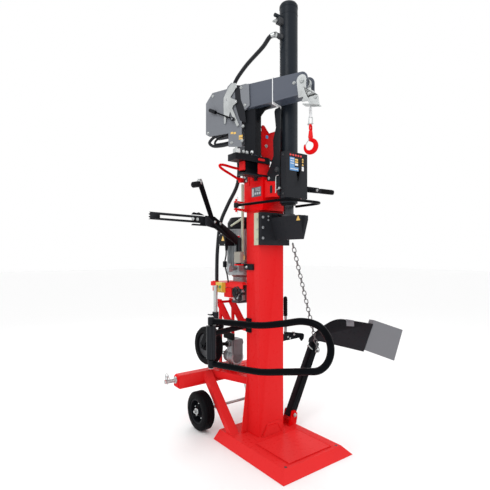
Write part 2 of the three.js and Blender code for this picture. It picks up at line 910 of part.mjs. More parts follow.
function makeBoom() {
  const group = groupAt(boom.x, boom.y, 0);
  group.rotation.z = boom.heading;
  const { bottom, half, wall } = boom;
  const { rear, rearTop, front, frontTop, tip } = boomEnd;
  const side = new THREE.Shape();
  side.moveTo(rear, bottom);
  side.lineTo(tip - 18, bottom + 4);
  side.lineTo(tip, bottom + 22);
  side.lineTo(tip, frontTop - 40);
  side.absarc(tip - 40, frontTop - 40, 40, 0, Math.PI / 2, false);
  side.lineTo(front, frontTop);
  side.lineTo(rear, rearTop);
  side.closePath();
  const gusset = [
    [post.x - 2, 1990],
    [post.x + 12, 2040],
    [post.x + 44, 2070],
    [post.x + 92, bottom + 2],
    [post.x - 2, bottom + 2],
  ];
  const beam = cut(
    plate("y", side, -half, half),
    box(rear - 5, front + 1, -half + wall, half - wall, bottom + wall, frontTop - wall),
    box(front - 15, tip + 5, -half + wall, half - wall, bottom - 5, frontTop + 30),
  );
  const mast = cut(
    box(-post.x, post.x, -post.y, post.y, post.bottom, bottom + 2),
    box(
      -post.x + post.wall,
      post.x - post.wall,
      -post.y + post.wall,
      post.y - post.wall,
      post.bottom - 1,
      bottom - 10,
    ),
  );
  add("boom", join(beam, mast, plate("y", gusset, -10, 10)), grey, group);
  makeWinch(group);
  makeTip(group);
}

function makeWinch(group) {
  const inner = boom.half + GAP;
  const outer = inner + winch.plate;
  const side = [
    [-332, 1972],
    [-303, 1954],
    [-149, 1950],
    [-149, 1866],
    [-48, 1850],
    [-48, 2060],
    [-15, 2070],
    [-15, 2226],
    [-278, 2229],
    [-332, 2173],
  ];
  const skin = [
    [-332, 1972],
    [-328, 1972],
    [-328, 2171],
    [-276, 2225],
    [-120, 2224],
    [-120, 2228],
    [-278, 2229],
    [-332, 2173],
  ];
  const linkage = [
    [-150, 2238],
    [-184, 2160],
    [-184, 2030],
    [-172, 2030],
    [-150, 2096],
    [-118, 2130],
    [-150, 2176],
    [-98, 2242],
    [-120, 2256],
  ];
  const spacer = (x, z) => bar([x, -outer + 1, z], [x, outer - 1, z], 7, 12);
  const pivot = bar([-104, -outer + 1, 2025], [-104, -outer - 26, 2025], 6, 12);
  const body = join(
    plate("y", side, -outer, -inner),
    plate("y", side, inner, outer),
    plate("y", skin, -inner - 1, inner + 1),
    plate("y", linkage, -outer - 6, -outer + 1),
    spacer(-310, 1990),
    spacer(-136, 1886),
    spacer(-60, 1870),
    pivot,
  );
  add("winch_housing", body, grey, group);

  const { drumX, drumZ, drum, flange } = winch;
  const profile = [
    [10, -40],
    [flange, -40],
    [flange, -34],
    [drum, -34],
    [drum, 34],
    [flange, 34],
    [flange, 40],
    [10, 40],
  ];
  const spool = turned("y", profile, 32).translate(drumX, 0, drumZ);
  add("winch_drum", spool, red, group);

  const y = -outer - 18.5;
  const eye = bar([-104, y + 4, 2025], [-104, y - 5, 2025], 12);
  const bore = bar([-104, y + 9, 2025], [-104, y - 9, 2025], 6.4, 12);
  const stick = bar([-110, y, 2029], [-262, y, 2104], 4.5, 10);
  const knob = bar([-236, y, 2091], [-284, y, 2115], 11, 16);
  add("winch_lever", cut(join(eye, stick, knob), bore), black, group);
}

function makeTip(group) {
  const inner = boom.half - boom.wall - GAP;
  const { x, z, groove, radius, half } = sheave;
  const profile = [
    [0, -inner],
    [8, -inner],
    [8, -half],
    [radius, -half],
    [groove, -4],
    [groove, 4],
    [radius, half],
    [8, half],
    [8, inner],
    [0, inner],
  ];
  const points = profile.map(([r, h]) => new THREE.Vector2(r, h));
  const pulley = new THREE.LatheGeometry(points, 32).translate(x, 0, z);
  add("tip_sheave", pulley, zinc, group);

  const outer = boom.half + GAP;
  const hanger = [
    [357, 2036],
    [384, 2100],
    [408, 2104],
    [463, 1988],
    [418, 1996],
    [392, 2034],
  ];
  const guide = new THREE.Shape();
  guide.absarc(rope.x, 0, 15, Math.PI / 2, 1.5 * Math.PI, false);
  guide.lineTo(rope.x + 24, -outer - 2);
  guide.lineTo(rope.x + 52, -outer - 2);
  guide.lineTo(rope.x + 52, -outer + 12);
  guide.lineTo(rope.x + 15, 15);
  guide.closePath();
  const eye = new THREE.Path();
  eye.absarc(rope.x, 0, 7, 0, 2 * Math.PI, true);
  guide.holes.push(eye);
  const link = new THREE.Shape();
  link.absarc(x - 4, z + 6, 30, 0, Math.PI, false);
  link.lineTo(x - 22, 2062);
  link.lineTo(x + 22, 2062);
  link.closePath();
  const bracket = join(
    plate("y", hanger, -outer - 5, -outer),
    plate("y", link, -outer - 5, -outer),
    plate("z", guide, 2024, 2030),
  );
  add("limit_bracket", bracket, zinc, group);

  const cx = rope.x;
  const hookMiddle = 1800;
  const bend = [
    [cx, 0, 1880],
    [cx + 4, 0, 1846],
  ];
  for (let step = 0; step <= 8; step += 1) {
    const angle = (60 - step * 31) * DEG;
    bend.push([cx + 31 * Math.cos(angle), 0, hookMiddle + 31 * Math.sin(angle)]);
  }
  const hook = bentBar(bend, 9, 36, 10);
  const ring = (height, big, small) =>
    new THREE.TorusGeometry(big, small, 8, 20).rotateX(Math.PI / 2).translate(cx, 0, height);
  const block = join(
    bar([cx, 0, 1990], [cx, 0, 2146], rope.radius, 8),
    bar([cx, 0, 1966], [cx, 0, 2016], 8, 12),
    ring(1952, 20, 4.5),
    ring(1914, 18, 7),
    bar([cx, 0, 1868], [cx, 0, 1898], 10, 12),
    hook,
  );
  add("hook_block", block, red, group);
}

// ---------------------------------------------------------------- drive units
function makeMotor() {
  const { y, radius, bottom, top } = motor;
  const profile = [
    [0, shelf.top + GAP],
    [62, shelf.top + GAP],
    [62, 1040],
    [80, 1056],
    [radius + 10, 1056],
    [radius + 10, bottom],
    [radius, bottom],
    [radius, top],
    [0, top],
  ];
  const points = profile.map(([r, h]) => new THREE.Vector2(r, h));
  const body = new THREE.LatheGeometry(points, 36).rotateX(Math.PI / 2).translate(0, y, 0);
  add("motor_body", body, silver);
  const hood = [
    [0, top + GAP],
    [radius + 6, top + GAP],
    [radius + 6, top + 45],
    [radius - 12, top + 78],
    [0, top + 80],
  ];
  const cowl = new THREE.LatheGeometry(hood.map(([r, h]) => new THREE.Vector2(r, h)), 36);
  add("fan_cover", cowl.rotateX(Math.PI / 2).translate(0, y, 0), black);
  const saddle = bar([0, y, 1240], [0, y, 1350], radius + GAP, 36);
  add("terminal_box", cut(box(-165, -60, 232, 318, 1255, 1335), saddle), black);
}

function makeShelf() {
  const { x, rear, bottom, top, sheet } = shelf;
  const front = column.rear + GAP;
  const pan = cut(
    box(-x, x, front, rear, bottom - 12, top),
    box(-x + sheet, x - sheet, front - 1, rear - sheet, bottom - 13, top - sheet),
  );
  add("motor_shelf", pan, red);
  const { outer, inner, front: y0, rear: y1 } = switchBox;
  const casing = cut(
    box(outer, -x - GAP, y0, y1, switchBox.bottom, switchBox.top),
    ...[y0 + 20, y1 - 20].map((y) =>
      bar([outer - 1, y, button.z], [outer + button.depth, y, button.z], button.radius + 0.5, 20),
    ),
  );
  add("switch_box", join(casing, box(outer + 6, inner, y0, y1, 935, 950)), yellow);
  const names = ["start_button", "stop_button"];
  [y0 + 20, y1 - 20].forEach((y, i) => {
    const face = outer - button.out;
    const cap = bar([face, y, button.z], [outer + 4, y, button.z], button.radius, 20);
    add(names[i], cap, i === 0 ? green : red);
  });
  const pump = join(
    bar([0, motor.y, 876], [0, motor.y, top - sheet - GAP], 48, 28),
    box(-58, 58, motor.y - 40, motor.y + 40, 860, 880),
  );
  add("hydraulic_pump", pump, silver);
}

function makeGearbox() {
  const { y, rear, z, radius } = gearbox;
  const body = join(
    bar([0, y, z], [0, rear - 12, z], radius, 28),
    bar([0, rear - 14, z], [0, 500, z], 17, 16),
    box(-40, 40, 318, 400, z + 20, 592),
    bar([-62, 360, 560], [62, 360, 560], 20, 16),
  );
  add("pto_gearbox", body, silver);
}

function makeHose() {
  const radius = 13;
  const path = [
    [-99, cylinder.y, 2498],
    [-108, cylinder.y, 2498],
    [-124, -180, 2492],
    [-112, -97, 2469],
    [-104, 108, 2415],
    [-95, 240, 2345],
    [-72, 296, 2240],
    [-44, 292, 2050],
    [-40, 262, 1880],
    [-50, 255, 1689],
    [-80, 336, 1540],
    [-100, 392, 1426],
    [-105, 428, 1227],
    [-105, 436, 1060],
    [-105, 436, shelf.top + 1],
  ];
  add("pressure_hose", bentBar(path, radius, 60, 10), rubber);
}

// ---------------------------------------------------------------- stowed jockey wheel
function makeJockey() {
  const { x, y, tube, trail, wheelZ, wheelRadius, width } = jockey;
  const sleeve = cut(
    join(
      bar([x, y, 722], [x, y, 806], tube + 7, 24),
      box(x + tube, -topLink.x - topLink.plate / 2 - GAP, y - 16, y + 16, 722, 740),
      bar([x - tube - 4, y, 790], [x - tube - 34, y, 790], 5, 10),
      bar([x - tube - 32, y - 22, 790], [x - tube - 32, y + 22, 790], 4, 10),
    ),
    bar([x, y, 710], [x, y, 820], tube + GAP, 24),
  );
  add("jockey_clamp", sleeve, black);
  const stem = join(bar([x, y, 719], [x, y, 975], tube, 24), bar([x, y, 975], [x, y, 985], 17, 24));
  add("jockey_tube", stem, zinc);

  const half = width / 2;
  const leg = [
    [trail - 18, wheelZ - 18],
    [trail + 18, wheelZ - 18],
    [trail + 18, wheelZ + 20],
    [20, 715],
    [-20, 715],
    [-20, 703],
  ];
  const group = groupAt(x, y, 0);
  const fork = join(
    box(-half - 12, half + 12, -20, 26, 703, 715),
    plate("x", leg, -half - 12, -half - 5),
    plate("x", leg, half + 5, half + 12),
    bar([-half - 18, trail, wheelZ], [half + 18, trail, wheelZ], 10, 16),
    bar([0, 0, 714], [0, 0, 718], tube, 24),
  );
  add("jockey_fork", fork, grey, group);
  const hub = groupAt(0, trail, wheelZ, group);
  const profile = [
    [10.4, -half + 4],
    [30, -half + 4],
    [34, -half + 16],
    [wheelRadius * 0.62, -half + 16],
    [wheelRadius * 0.68, -half + 1],
    [wheelRadius - 12, -half],
    [wheelRadius, -half + 16],
  ];
  const other = profile.map(([r, h]) => [r, -h]).reverse();
  add("jockey_wheel", turned("x", [...profile, ...other], 36), rubber, hub);
}

makeBase();
makeColumn();
makeHead();
makeLockingLever();
makeHitch();
makeAxle();
makeWheels();
makeTopLink();
makeCylinder();
makeRod();
makeCarriage();
makeWedge();
makeCover();
makeLift();
makeChain();
makeLatch();
makeGuard();
makeLeftArm();
makeRightArm();
makeFingerHoop();
makeStrokeRod();
makeLoopHandle();
makeSwivelBase();
makeBoom();
makeMotor();
makeShelf();
makeGearbox();
makeHose();
makeJockey();

export default splitter;
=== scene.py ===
"""Looks for the upright log splitter: detailed pieces, materials, camera and studio."""

import json
import math

import bmesh
import bpy
from mathutils import Matrix, Vector


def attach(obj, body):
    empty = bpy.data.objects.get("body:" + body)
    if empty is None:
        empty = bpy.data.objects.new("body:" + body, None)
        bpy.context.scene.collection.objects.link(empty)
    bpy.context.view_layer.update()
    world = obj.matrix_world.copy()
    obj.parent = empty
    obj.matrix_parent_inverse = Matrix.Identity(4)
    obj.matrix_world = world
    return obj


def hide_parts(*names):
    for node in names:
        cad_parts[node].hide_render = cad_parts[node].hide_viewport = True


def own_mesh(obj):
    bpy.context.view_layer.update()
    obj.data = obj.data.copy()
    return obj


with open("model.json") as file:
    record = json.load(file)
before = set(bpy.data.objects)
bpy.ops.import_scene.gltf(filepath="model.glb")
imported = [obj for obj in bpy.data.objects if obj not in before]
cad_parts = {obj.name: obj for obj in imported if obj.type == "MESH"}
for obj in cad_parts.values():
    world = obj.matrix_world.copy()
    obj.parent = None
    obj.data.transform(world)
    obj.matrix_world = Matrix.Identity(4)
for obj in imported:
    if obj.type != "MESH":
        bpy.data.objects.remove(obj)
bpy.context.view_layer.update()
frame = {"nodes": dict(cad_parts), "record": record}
nodes = frame["nodes"]


# ---------------------------------------------------------------- local frames, in millimetres
def place(x=0.0, y=0.0, z=0.0, about_z=0.0, about_y=0.0):
    """The matrix of a local frame that stands at a point and is turned about Z, then Y."""
    turn = Matrix.Rotation(math.radians(about_z), 4, "Z")
    lean = Matrix.Rotation(math.radians(about_y), 4, "Y")
    return Matrix.Translation((x, y, z)) @ turn @ lean


CYLINDER_Y = -203
MOTOR_Y = 275
DRIVE_SHAFT_Z = 461
HINGE_Y = 108
STROKE_ROD_X = -118
LIFT_PIVOT = (210, 5, 117)
LIFT_LEAN = 27.6
CHAIN_LUG = (132, -92, 1292)
CHAIN_UP_ARM = 455
CHAIN_BESIDE_ARM = 18
CHAIN_PITCH = 31
LINK_TURN = 0.62
HOSE_RADIUS = 0.013

LEFT, RIGHT = (-1, 0, 0), (1, 0, 0)
FRONT, BACK = (0, -1, 0), (0, 1, 0)
DOWN, UP = (0, 0, -1), (0, 0, 1)
SIDES = ((-1, "left"), (1, "right"))

ROW = place()
BOOM = place(-165, -62, 0, about_z=-72)
LIFT = place(*LIFT_PIVOT, about_y=LIFT_LEAN)
GUARD = place(-455, -45, 0, about_z=-73)
LEFT_ARM = place(-150, HINGE_Y, 0, about_z=199.4)
GRIPPER = LEFT_ARM @ place(279, 0, 0, about_z=-11.3)
RIGHT_ARM = place(150, HINGE_Y, 0, about_z=-17.7)


# ---------------------------------------------------------------- camera
def make_camera():
    data = bpy.data.cameras.new("camera")
    data.sensor_width = 36
    data.lens = 29.66
    data.shift_y = 0.0195
    camera = bpy.data.objects.new("camera", data)
    bpy.context.collection.objects.link(camera)
    camera.location = (-1.686, -2.007, 1.195)
    camera.rotation_euler = (math.radians(90), 0, math.radians(-36.9))
    bpy.context.scene.camera = camera


make_camera()


# ---------------------------------------------------------------- materials
def new_material(name):
    material = bpy.data.materials.new(name)
    material.use_nodes = True
    tree = material.node_tree
    tree.nodes.clear()
    output = tree.nodes.new("ShaderNodeOutputMaterial")
    shader = tree.nodes.new("ShaderNodeBsdfPrincipled")
    tree.links.new(shader.outputs[0], output.inputs[0])
    return material, tree, shader


def noise(tree, scale, detail=3.0, stretch=(1, 1, 1)):
    """Noise in the piece's own metres, so the grain keeps its real size."""
    where = tree.nodes.new("ShaderNodeTexCoord")
    mapping = tree.nodes.new("ShaderNodeMapping")
    mapping.inputs["Scale"].default_value = stretch
    grain = tree.nodes.new("ShaderNodeTexNoise")
    grain.inputs["Scale"].default_value = scale
    grain.inputs["Detail"].default_value = detail
    grain.inputs["Roughness"].default_value = 0.55
    tree.links.new(where.outputs["Object"], mapping.inputs["Vector"])
    tree.links.new(mapping.outputs["Vector"], grain.inputs["Vector"])
    return grain.outputs["Fac"]


def remap(tree, value, low, high, to_low, to_high):
    node = tree.nodes.new("ShaderNodeMapRange")
    node.inputs["From Min"].default_value = low
    node.inputs["From Max"].default_value = high
    node.inputs["To Min"].default_value = to_low
    node.inputs["To Max"].default_value = to_high
    tree.links.new(value, node.inputs["Value"])
    return node.outputs["Result"]


def mix(tree, fac, a, b):
    node = tree.nodes.new("ShaderNodeMix")
    node.data_type = "RGBA"
    tree.links.new(fac, node.inputs["Factor"])
    for socket, value in ((node.inputs["A"], a), (node.inputs["B"], b)):
        if isinstance(value, tuple):
            socket.default_value = (*value, 1)
        else:
            tree.links.new(value, socket)
    return node.outputs["Result"]


def shade(color, factor):
    return tuple(min(1.0, c * factor) for c in color)


EDGE_RADIUS = 0.0016
SHARP_ANGLE = math.radians(38)
BEVEL_ANGLE = math.radians(40)


def surface(
    name,
    color,
    roughness,
    metallic=0.0,
    coat=0.0,
    grain=60.0,
    vary=0.12,
    bump=0.0004,
    bump_scale=300.0,
    edge=None,
    rough_vary=0.06,
    stretch=(1, 1, 1),
    specular=0.5,
):
    """One finish: colour that drifts a little, uneven gloss, fine relief and softened edges."""
    material, tree, shader = new_material(name)
    shader.inputs["Metallic"].default_value = metallic
    shader.inputs["Coat Weight"].default_value = coat
    shader.inputs["Specular IOR Level"].default_value = specular
    shader.inputs["Coat Roughness"].default_value = 0.08
    patches = noise(tree, grain / 10, 4.0, stretch=stretch)
    fine = noise(tree, grain, 5.0, stretch=stretch)
    drift = remap(tree, patches, 0.3, 0.7, 0.0, 1.0)
    base = mix(tree, drift, shade(color, 1 - vary), shade(color, 1 + vary))
    if edge is not None:
        geometry = tree.nodes.new("ShaderNodeNewGeometry")
        # Sharp outer edges (high pointiness) are mixed toward the lighter edge colour.
        edge_lighten = remap(tree, geometry.outputs["Pointiness"], 0.53, 0.6, 0.0, 0.55)
        base = mix(tree, edge_lighten, base, edge)
    tree.links.new(base, shader.inputs["Base Color"])
    gloss = remap(tree, fine, 0.3, 0.7, roughness - rough_vary, roughness + rough_vary)
    tree.links.new(gloss, shader.inputs["Roughness"])
    soft = tree.nodes.new("ShaderNodeBevel")
    soft.samples = 4
    soft.inputs["Radius"].default_value = EDGE_RADIUS
    relief = tree.nodes.new("ShaderNodeBump")
    relief.inputs["Strength"].default_value = 1.0
    relief.inputs["Distance"].default_value = bump
    tree.links.new(noise(tree, bump_scale, 3.0, stretch=stretch), relief.inputs["Height"])
    tree.links.new(soft.outputs["Normal"], relief.inputs["Normal"])
    tree.links.new(relief.outputs["Normal"], shader.inputs["Normal"])
    return material


RED = surface("red enamel", (0.68, 0.0016, 0.0035), 0.3, specular=0.04, grain=40, vary=0.025,
        bump=0.0001, bump_scale=220, edge=(0.8, 0.05, 0.05))
BLACK = surface("black enamel", (0.0022, 0.0026, 0.0038), 0.3, specular=0.035, grain=50, vary=0.15,
        bump=0.0001, bump_scale=240, edge=(0.04, 0.042, 0.048))
CHARCOAL = surface("charcoal enamel", (0.05, 0.062, 0.086), 0.36, specular=0.2, grain=50, vary=0.05,
        bump=0.0001, bump_scale=240, edge=(0.13, 0.14, 0.17))
SLATE = surface("slate enamel", (0.014, 0.016, 0.019), 0.42, specular=0.12, grain=50, vary=0.1,
        bump=0.0003, bump_scale=240)
RAM_GREY = surface("ram enamel", (0.012, 0.016, 0.022), 0.32, specular=0.14, grain=30, vary=0.12,
        bump=0.0004, bump_scale=180)
PLATE_GREY = surface("plate enamel", (0.17, 0.18, 0.2), 0.45, specular=0.2, grain=60, vary=0.06,
        bump=0.0003, bump_scale=260, edge=(0.24, 0.25, 0.27))
WING_GREY = surface("wing enamel", (0.064, 0.067, 0.074), 0.5, specular=0.12, grain=45, vary=0.05,
        bump=0.0003, bump_scale=260, edge=(0.28, 0.28, 0.3))
ZINC = surface("zinc plate", (0.5, 0.52, 0.52), 0.32, metallic=0.9, grain=130, vary=0.14,
        bump=0.0003, bump_scale=400, rough_vary=0.1)
CHAIN_STEEL = surface("chain steel", (0.17, 0.175, 0.18), 0.34, metallic=0.9, grain=130,
        vary=0.2, bump=0.0003, bump_scale=400)
# Chromed rod with a darkened base colour: a painted dark reflection.
ROD_DARK_REFLECTION = surface("rod steel with painted dark reflection", (0.05, 0.054, 0.06), 0.18, metallic=0.9, grain=200,
        vary=0.05, bump=0.00005, bump_scale=900)
STEEL = surface("ground steel", (0.6, 0.61, 0.62), 0.16, metallic=1.0, grain=200, vary=0.04,
        bump=0.0001, bump_scale=900, stretch=(1, 1, 14), rough_vary=0.04)
CAST = surface("cast alloy", (0.38, 0.4, 0.415), 0.46, metallic=0.75, grain=120, vary=0.12,
        bump=0.0009, bump_scale=520, rough_vary=0.1)
MID_CAST = surface("gearbox casting", (0.13, 0.135, 0.145), 0.45, metallic=0.4, grain=110, vary=0.2,
        bump=0.0009, bump_scale=480, rough_vary=0.1)
DARK_CAST = surface("dark casting", (0.035, 0.037, 0.042), 0.5, metallic=0.2, grain=110, vary=0.2,
        bump=0.0009, bump_scale=480, rough_vary=0.1)
TYRE = surface("tyre rubber", (0.003, 0.003, 0.004), 0.6, specular=0.06, grain=90, vary=0.3,
        bump=0.0006, bump_scale=420, rough_vary=0.1)
HOSE = surface("hose rubber", (0.0065, 0.008, 0.0115), 0.42, specular=0.3, grain=160, vary=0.2,
        bump=0.0004, bump_scale=700)
GRIP = surface("grip rubber", (0.004, 0.004, 0.005), 0.6, specular=0.1, grain=180, vary=0.3,
        bump=0.0008, bump_scale=800, rough_vary=0.08)
PLASTIC = surface("black moulding", (0.004, 0.005, 0.007), 0.4, specular=0.12, grain=120, vary=0.2,
        bump=0.0005, bump_scale=900)
CREAM = surface("wear strip plastic", (0.52, 0.55, 0.4), 0.5, grain=70, vary=0.1,
        bump=0.0004, bump_scale=300)
CREAM_PAINT = surface("pale rod enamel", (0.42, 0.44, 0.33), 0.36, coat=0.2, grain=60, vary=0.12,
        bump=0.0003, bump_scale=300)
STONE = surface("stone casting", (0.3, 0.28, 0.24), 0.55, grain=100, vary=0.15, bump=0.0008,
        bump_scale=480)
BRASS = surface("brass", (0.66, 0.42, 0.14), 0.28, metallic=1.0, grain=150, vary=0.12,
        bump=0.0002, bump_scale=500)
YELLOW = surface("yellow moulding", (0.72, 0.5, 0.06), 0.35, grain=120, vary=0.06, bump=0.0003,
        bump_scale=700)
GREEN = surface("green moulding", (0.05, 0.32, 0.1), 0.3, grain=120, vary=0.08, bump=0.0003,
        bump_scale=700)
STOP_RED = surface("red moulding", (0.7, 0.02, 0.02), 0.3, grain=120, vary=0.08, bump=0.0003,
        bump_scale=700)
AMBER = surface("amber film", (0.8, 0.5, 0.12), 0.35, grain=200, vary=0.06, bump=0.0001)
WHITE = surface("white film", (0.8, 0.81, 0.82), 0.35, grain=200, vary=0.04, bump=0.0001)
BLUE = surface("blue film", (0.09, 0.27, 0.55), 0.35, grain=200, vary=0.06, bump=0.0001)
SILVER_FILM = surface("silver film", (0.5, 0.51, 0.53), 0.3, metallic=0.6, grain=200, vary=0.08,
        bump=0.0001)


# ---------------------------------------------------------------- shapes
def smooth_line(points, per_span=8):
    """A smooth line through the points (centripetal Catmull-Rom, as the CAD bends its tubes)."""
    p = [Vector(q) for q in points]
    ends = [p[0] * 2 - p[1], *p, p[-1] * 2 - p[-2]]
    line = []
    for a, b, c, d in zip(ends, ends[1:], ends[2:], ends[3:]):
        k0, k1, k2 = ((q - o).length ** 0.5 for o, q in ((a, b), (b, c), (c, d)))
        leave = (b - a) / k0 - (c - a) / (k0 + k1) + (c - b) / k1
        arrive = (c - b) / k1 - (d - b) / (k1 + k2) + (d - c) / k2
        leave, arrive = leave * k1, arrive * k1
        for i in range(per_span):
            t = i / per_span
            curve = (2 * b - 2 * c + leave + arrive) * t**3
            curve += (3 * c - 3 * b - 2 * leave - arrive) * t * t
            line.append(curve + leave * t + b)
    line.append(p[-1])
    return line


def across(direction):
    """Two directions square to the given one."""
    w = Vector(direction).normalized()
    helper = Vector(UP) if abs(w.z) < 0.9 else Vector(RIGHT)
    u = w.cross(helper).normalized()
    return u, w.cross(u).normalized()


class Shape:
    """Solids collected in one local frame, in millimetres, that become one piece."""

    def __init__(self, frame_matrix=ROW):
        self.mesh = bmesh.new()
        self.frame = frame_matrix

    def faces(self, points, faces):
        verts = [self.mesh.verts.new(Vector(p)) for p in points]
        for face in faces:
            self.mesh.faces.new([verts[i] for i in face])
        return self

    def loft(self, rings, closed=False):
        """Skins between rings of equal count; open ends are capped."""
        n = len(rings[0])
        faces = []
        count = len(rings)
        for k in range(count if closed else count - 1):
            a = k * n
            b = ((k + 1) % count) * n
            for i in range(n):
                j = (i + 1) % n
                faces.append((a + i, a + j, b + j, b + i))
        if not closed:
            faces.append(tuple(reversed(range(n))))
            faces.append(tuple(range((count - 1) * n, count * n)))
        return self.faces([p for ring in rings for p in ring], faces)

    def plate(self, axis, outline, low, high):
        """An outline pushed along an axis: (y, z) for x, (x, z) for y, (x, y) for z."""
        rings = []
        for h in (low, high):
            if axis == "x":
                rings.append([(h, a, b) for a, b in outline])
            elif axis == "y":
                rings.append([(a, h, b) for a, b in outline])
            else:
                rings.append([(a, b, h) for a, b in outline])
        return self.loft(rings)

    def block(self, x0, x1, y0, y1, z0, z1):
        return self.plate("z", [(x0, y0), (x1, y0), (x1, y1), (x0, y1)], z0, z1)

    def cone(self, start, end, r0, r1, sides=24):
        a, b = Vector(start), Vector(end)
        u, v = across(b - a)
        rings = []
        for centre, r in ((a, r0), (b, r1)):
            turn = [2 * math.pi * i / sides for i in range(sides)]
            rings.append([centre + r * (math.cos(t) * u + math.sin(t) * v) for t in turn])
        return self.loft(rings)

    def bar(self, start, end, radius, sides=24):
        return self.cone(start, end, radius, radius, sides)

    def turned(self, centre, axis, profile, sides=48):
        """A closed (radius, distance) profile spun about an axis through centre."""
        c, w = Vector(centre), Vector(axis).normalized()
        u, v = across(w)
        rings = []
        for i in range(sides):
            t = 2 * math.pi * i / sides
            out = math.cos(t) * u + math.sin(t) * v
            rings.append([c + r * out + h * w for r, h in profile])
        return self.loft(rings, closed=True)

    def pipe(self, points, radius, sides=16, closed=False):
        line = [Vector(p) for p in points]
        count = len(line)
        rings = []
        u = None
        for i, p in enumerate(line):
            before = line[i - 1] if (i or closed) else p
            after = line[(i + 1) % count] if (i < count - 1 or closed) else p
            w = (after - before).normalized()
            if u is None:
                u = across(w)[0]
            u = (u - u.dot(w) * w).normalized()
            v = w.cross(u)
            r = radius[i] if isinstance(radius, list) else radius
            turn = [2 * math.pi * k / sides for k in range(sides)]
            rings.append([p + r * (math.cos(t) * u + math.sin(t) * v) for t in turn])
        return self.loft(rings, closed)

    def ball(self, centre, radius, sides=20):
        steps = 10
        c = Vector(centre)
        profile = []
        for i in range(steps + 1):
            t = math.pi * i / steps
            profile.append((max(0.02, radius * math.sin(t)), -radius * math.cos(t)))
        rings = []
        for r, h in profile:
            turn = [2 * math.pi * k / sides for k in range(sides)]
            rings.append([c + Vector((r * math.cos(t), r * math.sin(t), h)) for t in turn])
        return self.loft(rings)

    def bolt(self, centre, axis, size=8.0, head=None):
        """A washer, a chamfered hexagon head and the end of the thread."""
        c, w = Vector(centre), Vector(axis).normalized()
        u, v = across(w)
        height = head or size * 0.65
        self.cone(c, c + w * size * 0.18, size * 1.12, size * 1.08, 24)
        rings = []
        for h, r in ((0.18 * size, 0.98), (height * 0.8, 0.98), (height, 0.84)):
            turn = [math.pi * k / 3 for k in range(6)]
            rings.append(
                [c + w * h + size * r * (math.cos(t) * u + math.sin(t) * v) for t in turn]
            )
        self.loft(rings)
        return self.cone(c + w * height, c + w * (height + size * 0.3), size * 0.5, size * 0.42, 16)

    def link(self, centre, along, side, length, width, wire, sides=10):
        """One chain link: a stadium-shaped ring of round wire."""
        c, a, s = Vector(centre), Vector(along).normalized(), Vector(side).normalized()
        half = (length - width) / 2
        r = (width - wire) / 2
        points = []
        for k in range(8):
            t = math.pi * k / 7
            points.append(c + a * (half + r * math.sin(t)) + s * r * math.cos(t))
        for k in range(8):
            t = math.pi + math.pi * k / 7
            points.append(c + a * (-half + r * math.sin(t)) + s * r * math.cos(t))
        return self.pipe(points, wire / 2, sides, closed=True)

    def make(self, name, material, body, slot, bevel=0.0):
        """Turns the solids into one piece that rides a body; bevel is in millimetres."""
        bmesh.ops.recalc_face_normals(self.mesh, faces=self.mesh.faces)
        bmesh.ops.transform(
            self.mesh, matrix=Matrix.Scale(0.001, 4) @ self.frame, verts=self.mesh.verts
        )
        data = bpy.data.meshes.new(name)
        self.mesh.to_mesh(data)
        self.mesh.free()
        data.materials.append(material)
        piece = bpy.data.objects.new(name, data)
        bpy.context.collection.objects.link(piece)
        data.shade_smooth()
        data.set_sharp_from_angle(angle=SHARP_ANGLE)
        if bevel:
            rounding = piece.modifiers.new("rounding", "BEVEL")
            rounding.width = bevel / 1000
            rounding.segments = 2
            rounding.limit_method = "ANGLE"
            rounding.angle_limit = BEVEL_ANGLE
            rounding.harden_normals = True
        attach(piece, body)
        return piece


def ring_points(centre, u, v, radius, start, end, steps):
    """Points on an arc about a centre, from the direction u towards v, in degrees."""
    c, a, b = Vector(centre), Vector(u), Vector(v)
    points = []
    for i in range(steps + 1):
        t = math.radians(start + (end - start) * i / steps)
        points.append(c + radius * (math.cos(t) * a + math.sin(t) * b))
    return points


def ring_profile(inner, outer, half, inset=1, slope=1):
    """Profile of a turned ring with chamfered outer edges."""
    chamfer, end = outer - inset, half - slope
    return [(inner, -half), (chamfer, -half), (outer, -end), (outer, end), (chamfer, half),
            (inner, half)]


def weld(shape, start, end, count, radius, ripple, sides):
    """A bead between two points whose thickness goes up and down along it."""
    start, end = Vector(start), Vector(end)
    points = [start.lerp(end, k / count) for k in range(count + 1)]
    shape.pipe(points, [radius + ripple * (k % 2) for k in range(count + 1)], sides)


# ---------------------------------------------------------------- pressure hose
def make_hose():
    """The free hose from the cylinder's port down to the top of the shelf."""
    y = CYLINDER_Y / 1000
    points = [
        (-0.099, y, 2.498), (-0.108, y, 2.498), (-0.124, -0.180, 2.492), (-0.112, -0.097, 2.469),
        (-0.104, 0.108, 2.415), (-0.095, 0.240, 2.345), (-0.072, 0.296, 2.240),
        (-0.044, 0.292, 2.050), (-0.040, 0.262, 1.880), (-0.050, 0.255, 1.689),
        (-0.080, 0.336, 1.540), (-0.100, 0.392, 1.426), (-0.105, 0.428, 1.227),
        (-0.105, 0.436, 1.060), (-0.105, 0.436, 1.004),
    ]
    line = smooth_line(points, 5)
    data = bpy.data.curves.new("pressure_hose_line", "CURVE")
    data.dimensions = "3D"
    data.bevel_depth = HOSE_RADIUS
    data.bevel_resolution = 5
    data.use_fill_caps = True
    spline = data.splines.new("POLY")
    spline.points.add(len(line) - 1)
    for spot, p in zip(spline.points, line):
        spot.co = (*p, 1)
    data.materials.append(HOSE)
    hose = bpy.data.objects.new("pressure_hose_line", data)
    bpy.context.collection.objects.link(hose)
    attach(hose, "frame")
    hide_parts("pressure_hose")
    ferrule = Shape()
    ferrule.bar((-100, CYLINDER_Y, 2498), (-112, -200, 2497.4), 17, 6)
    ferrule.cone((-110, -201, 2497.4), (-123, -183, 2492.5), 16, 15, 28)
    ferrule = ferrule.make("hose_ferrule", ZINC, "frame", "zinc")


make_hose()


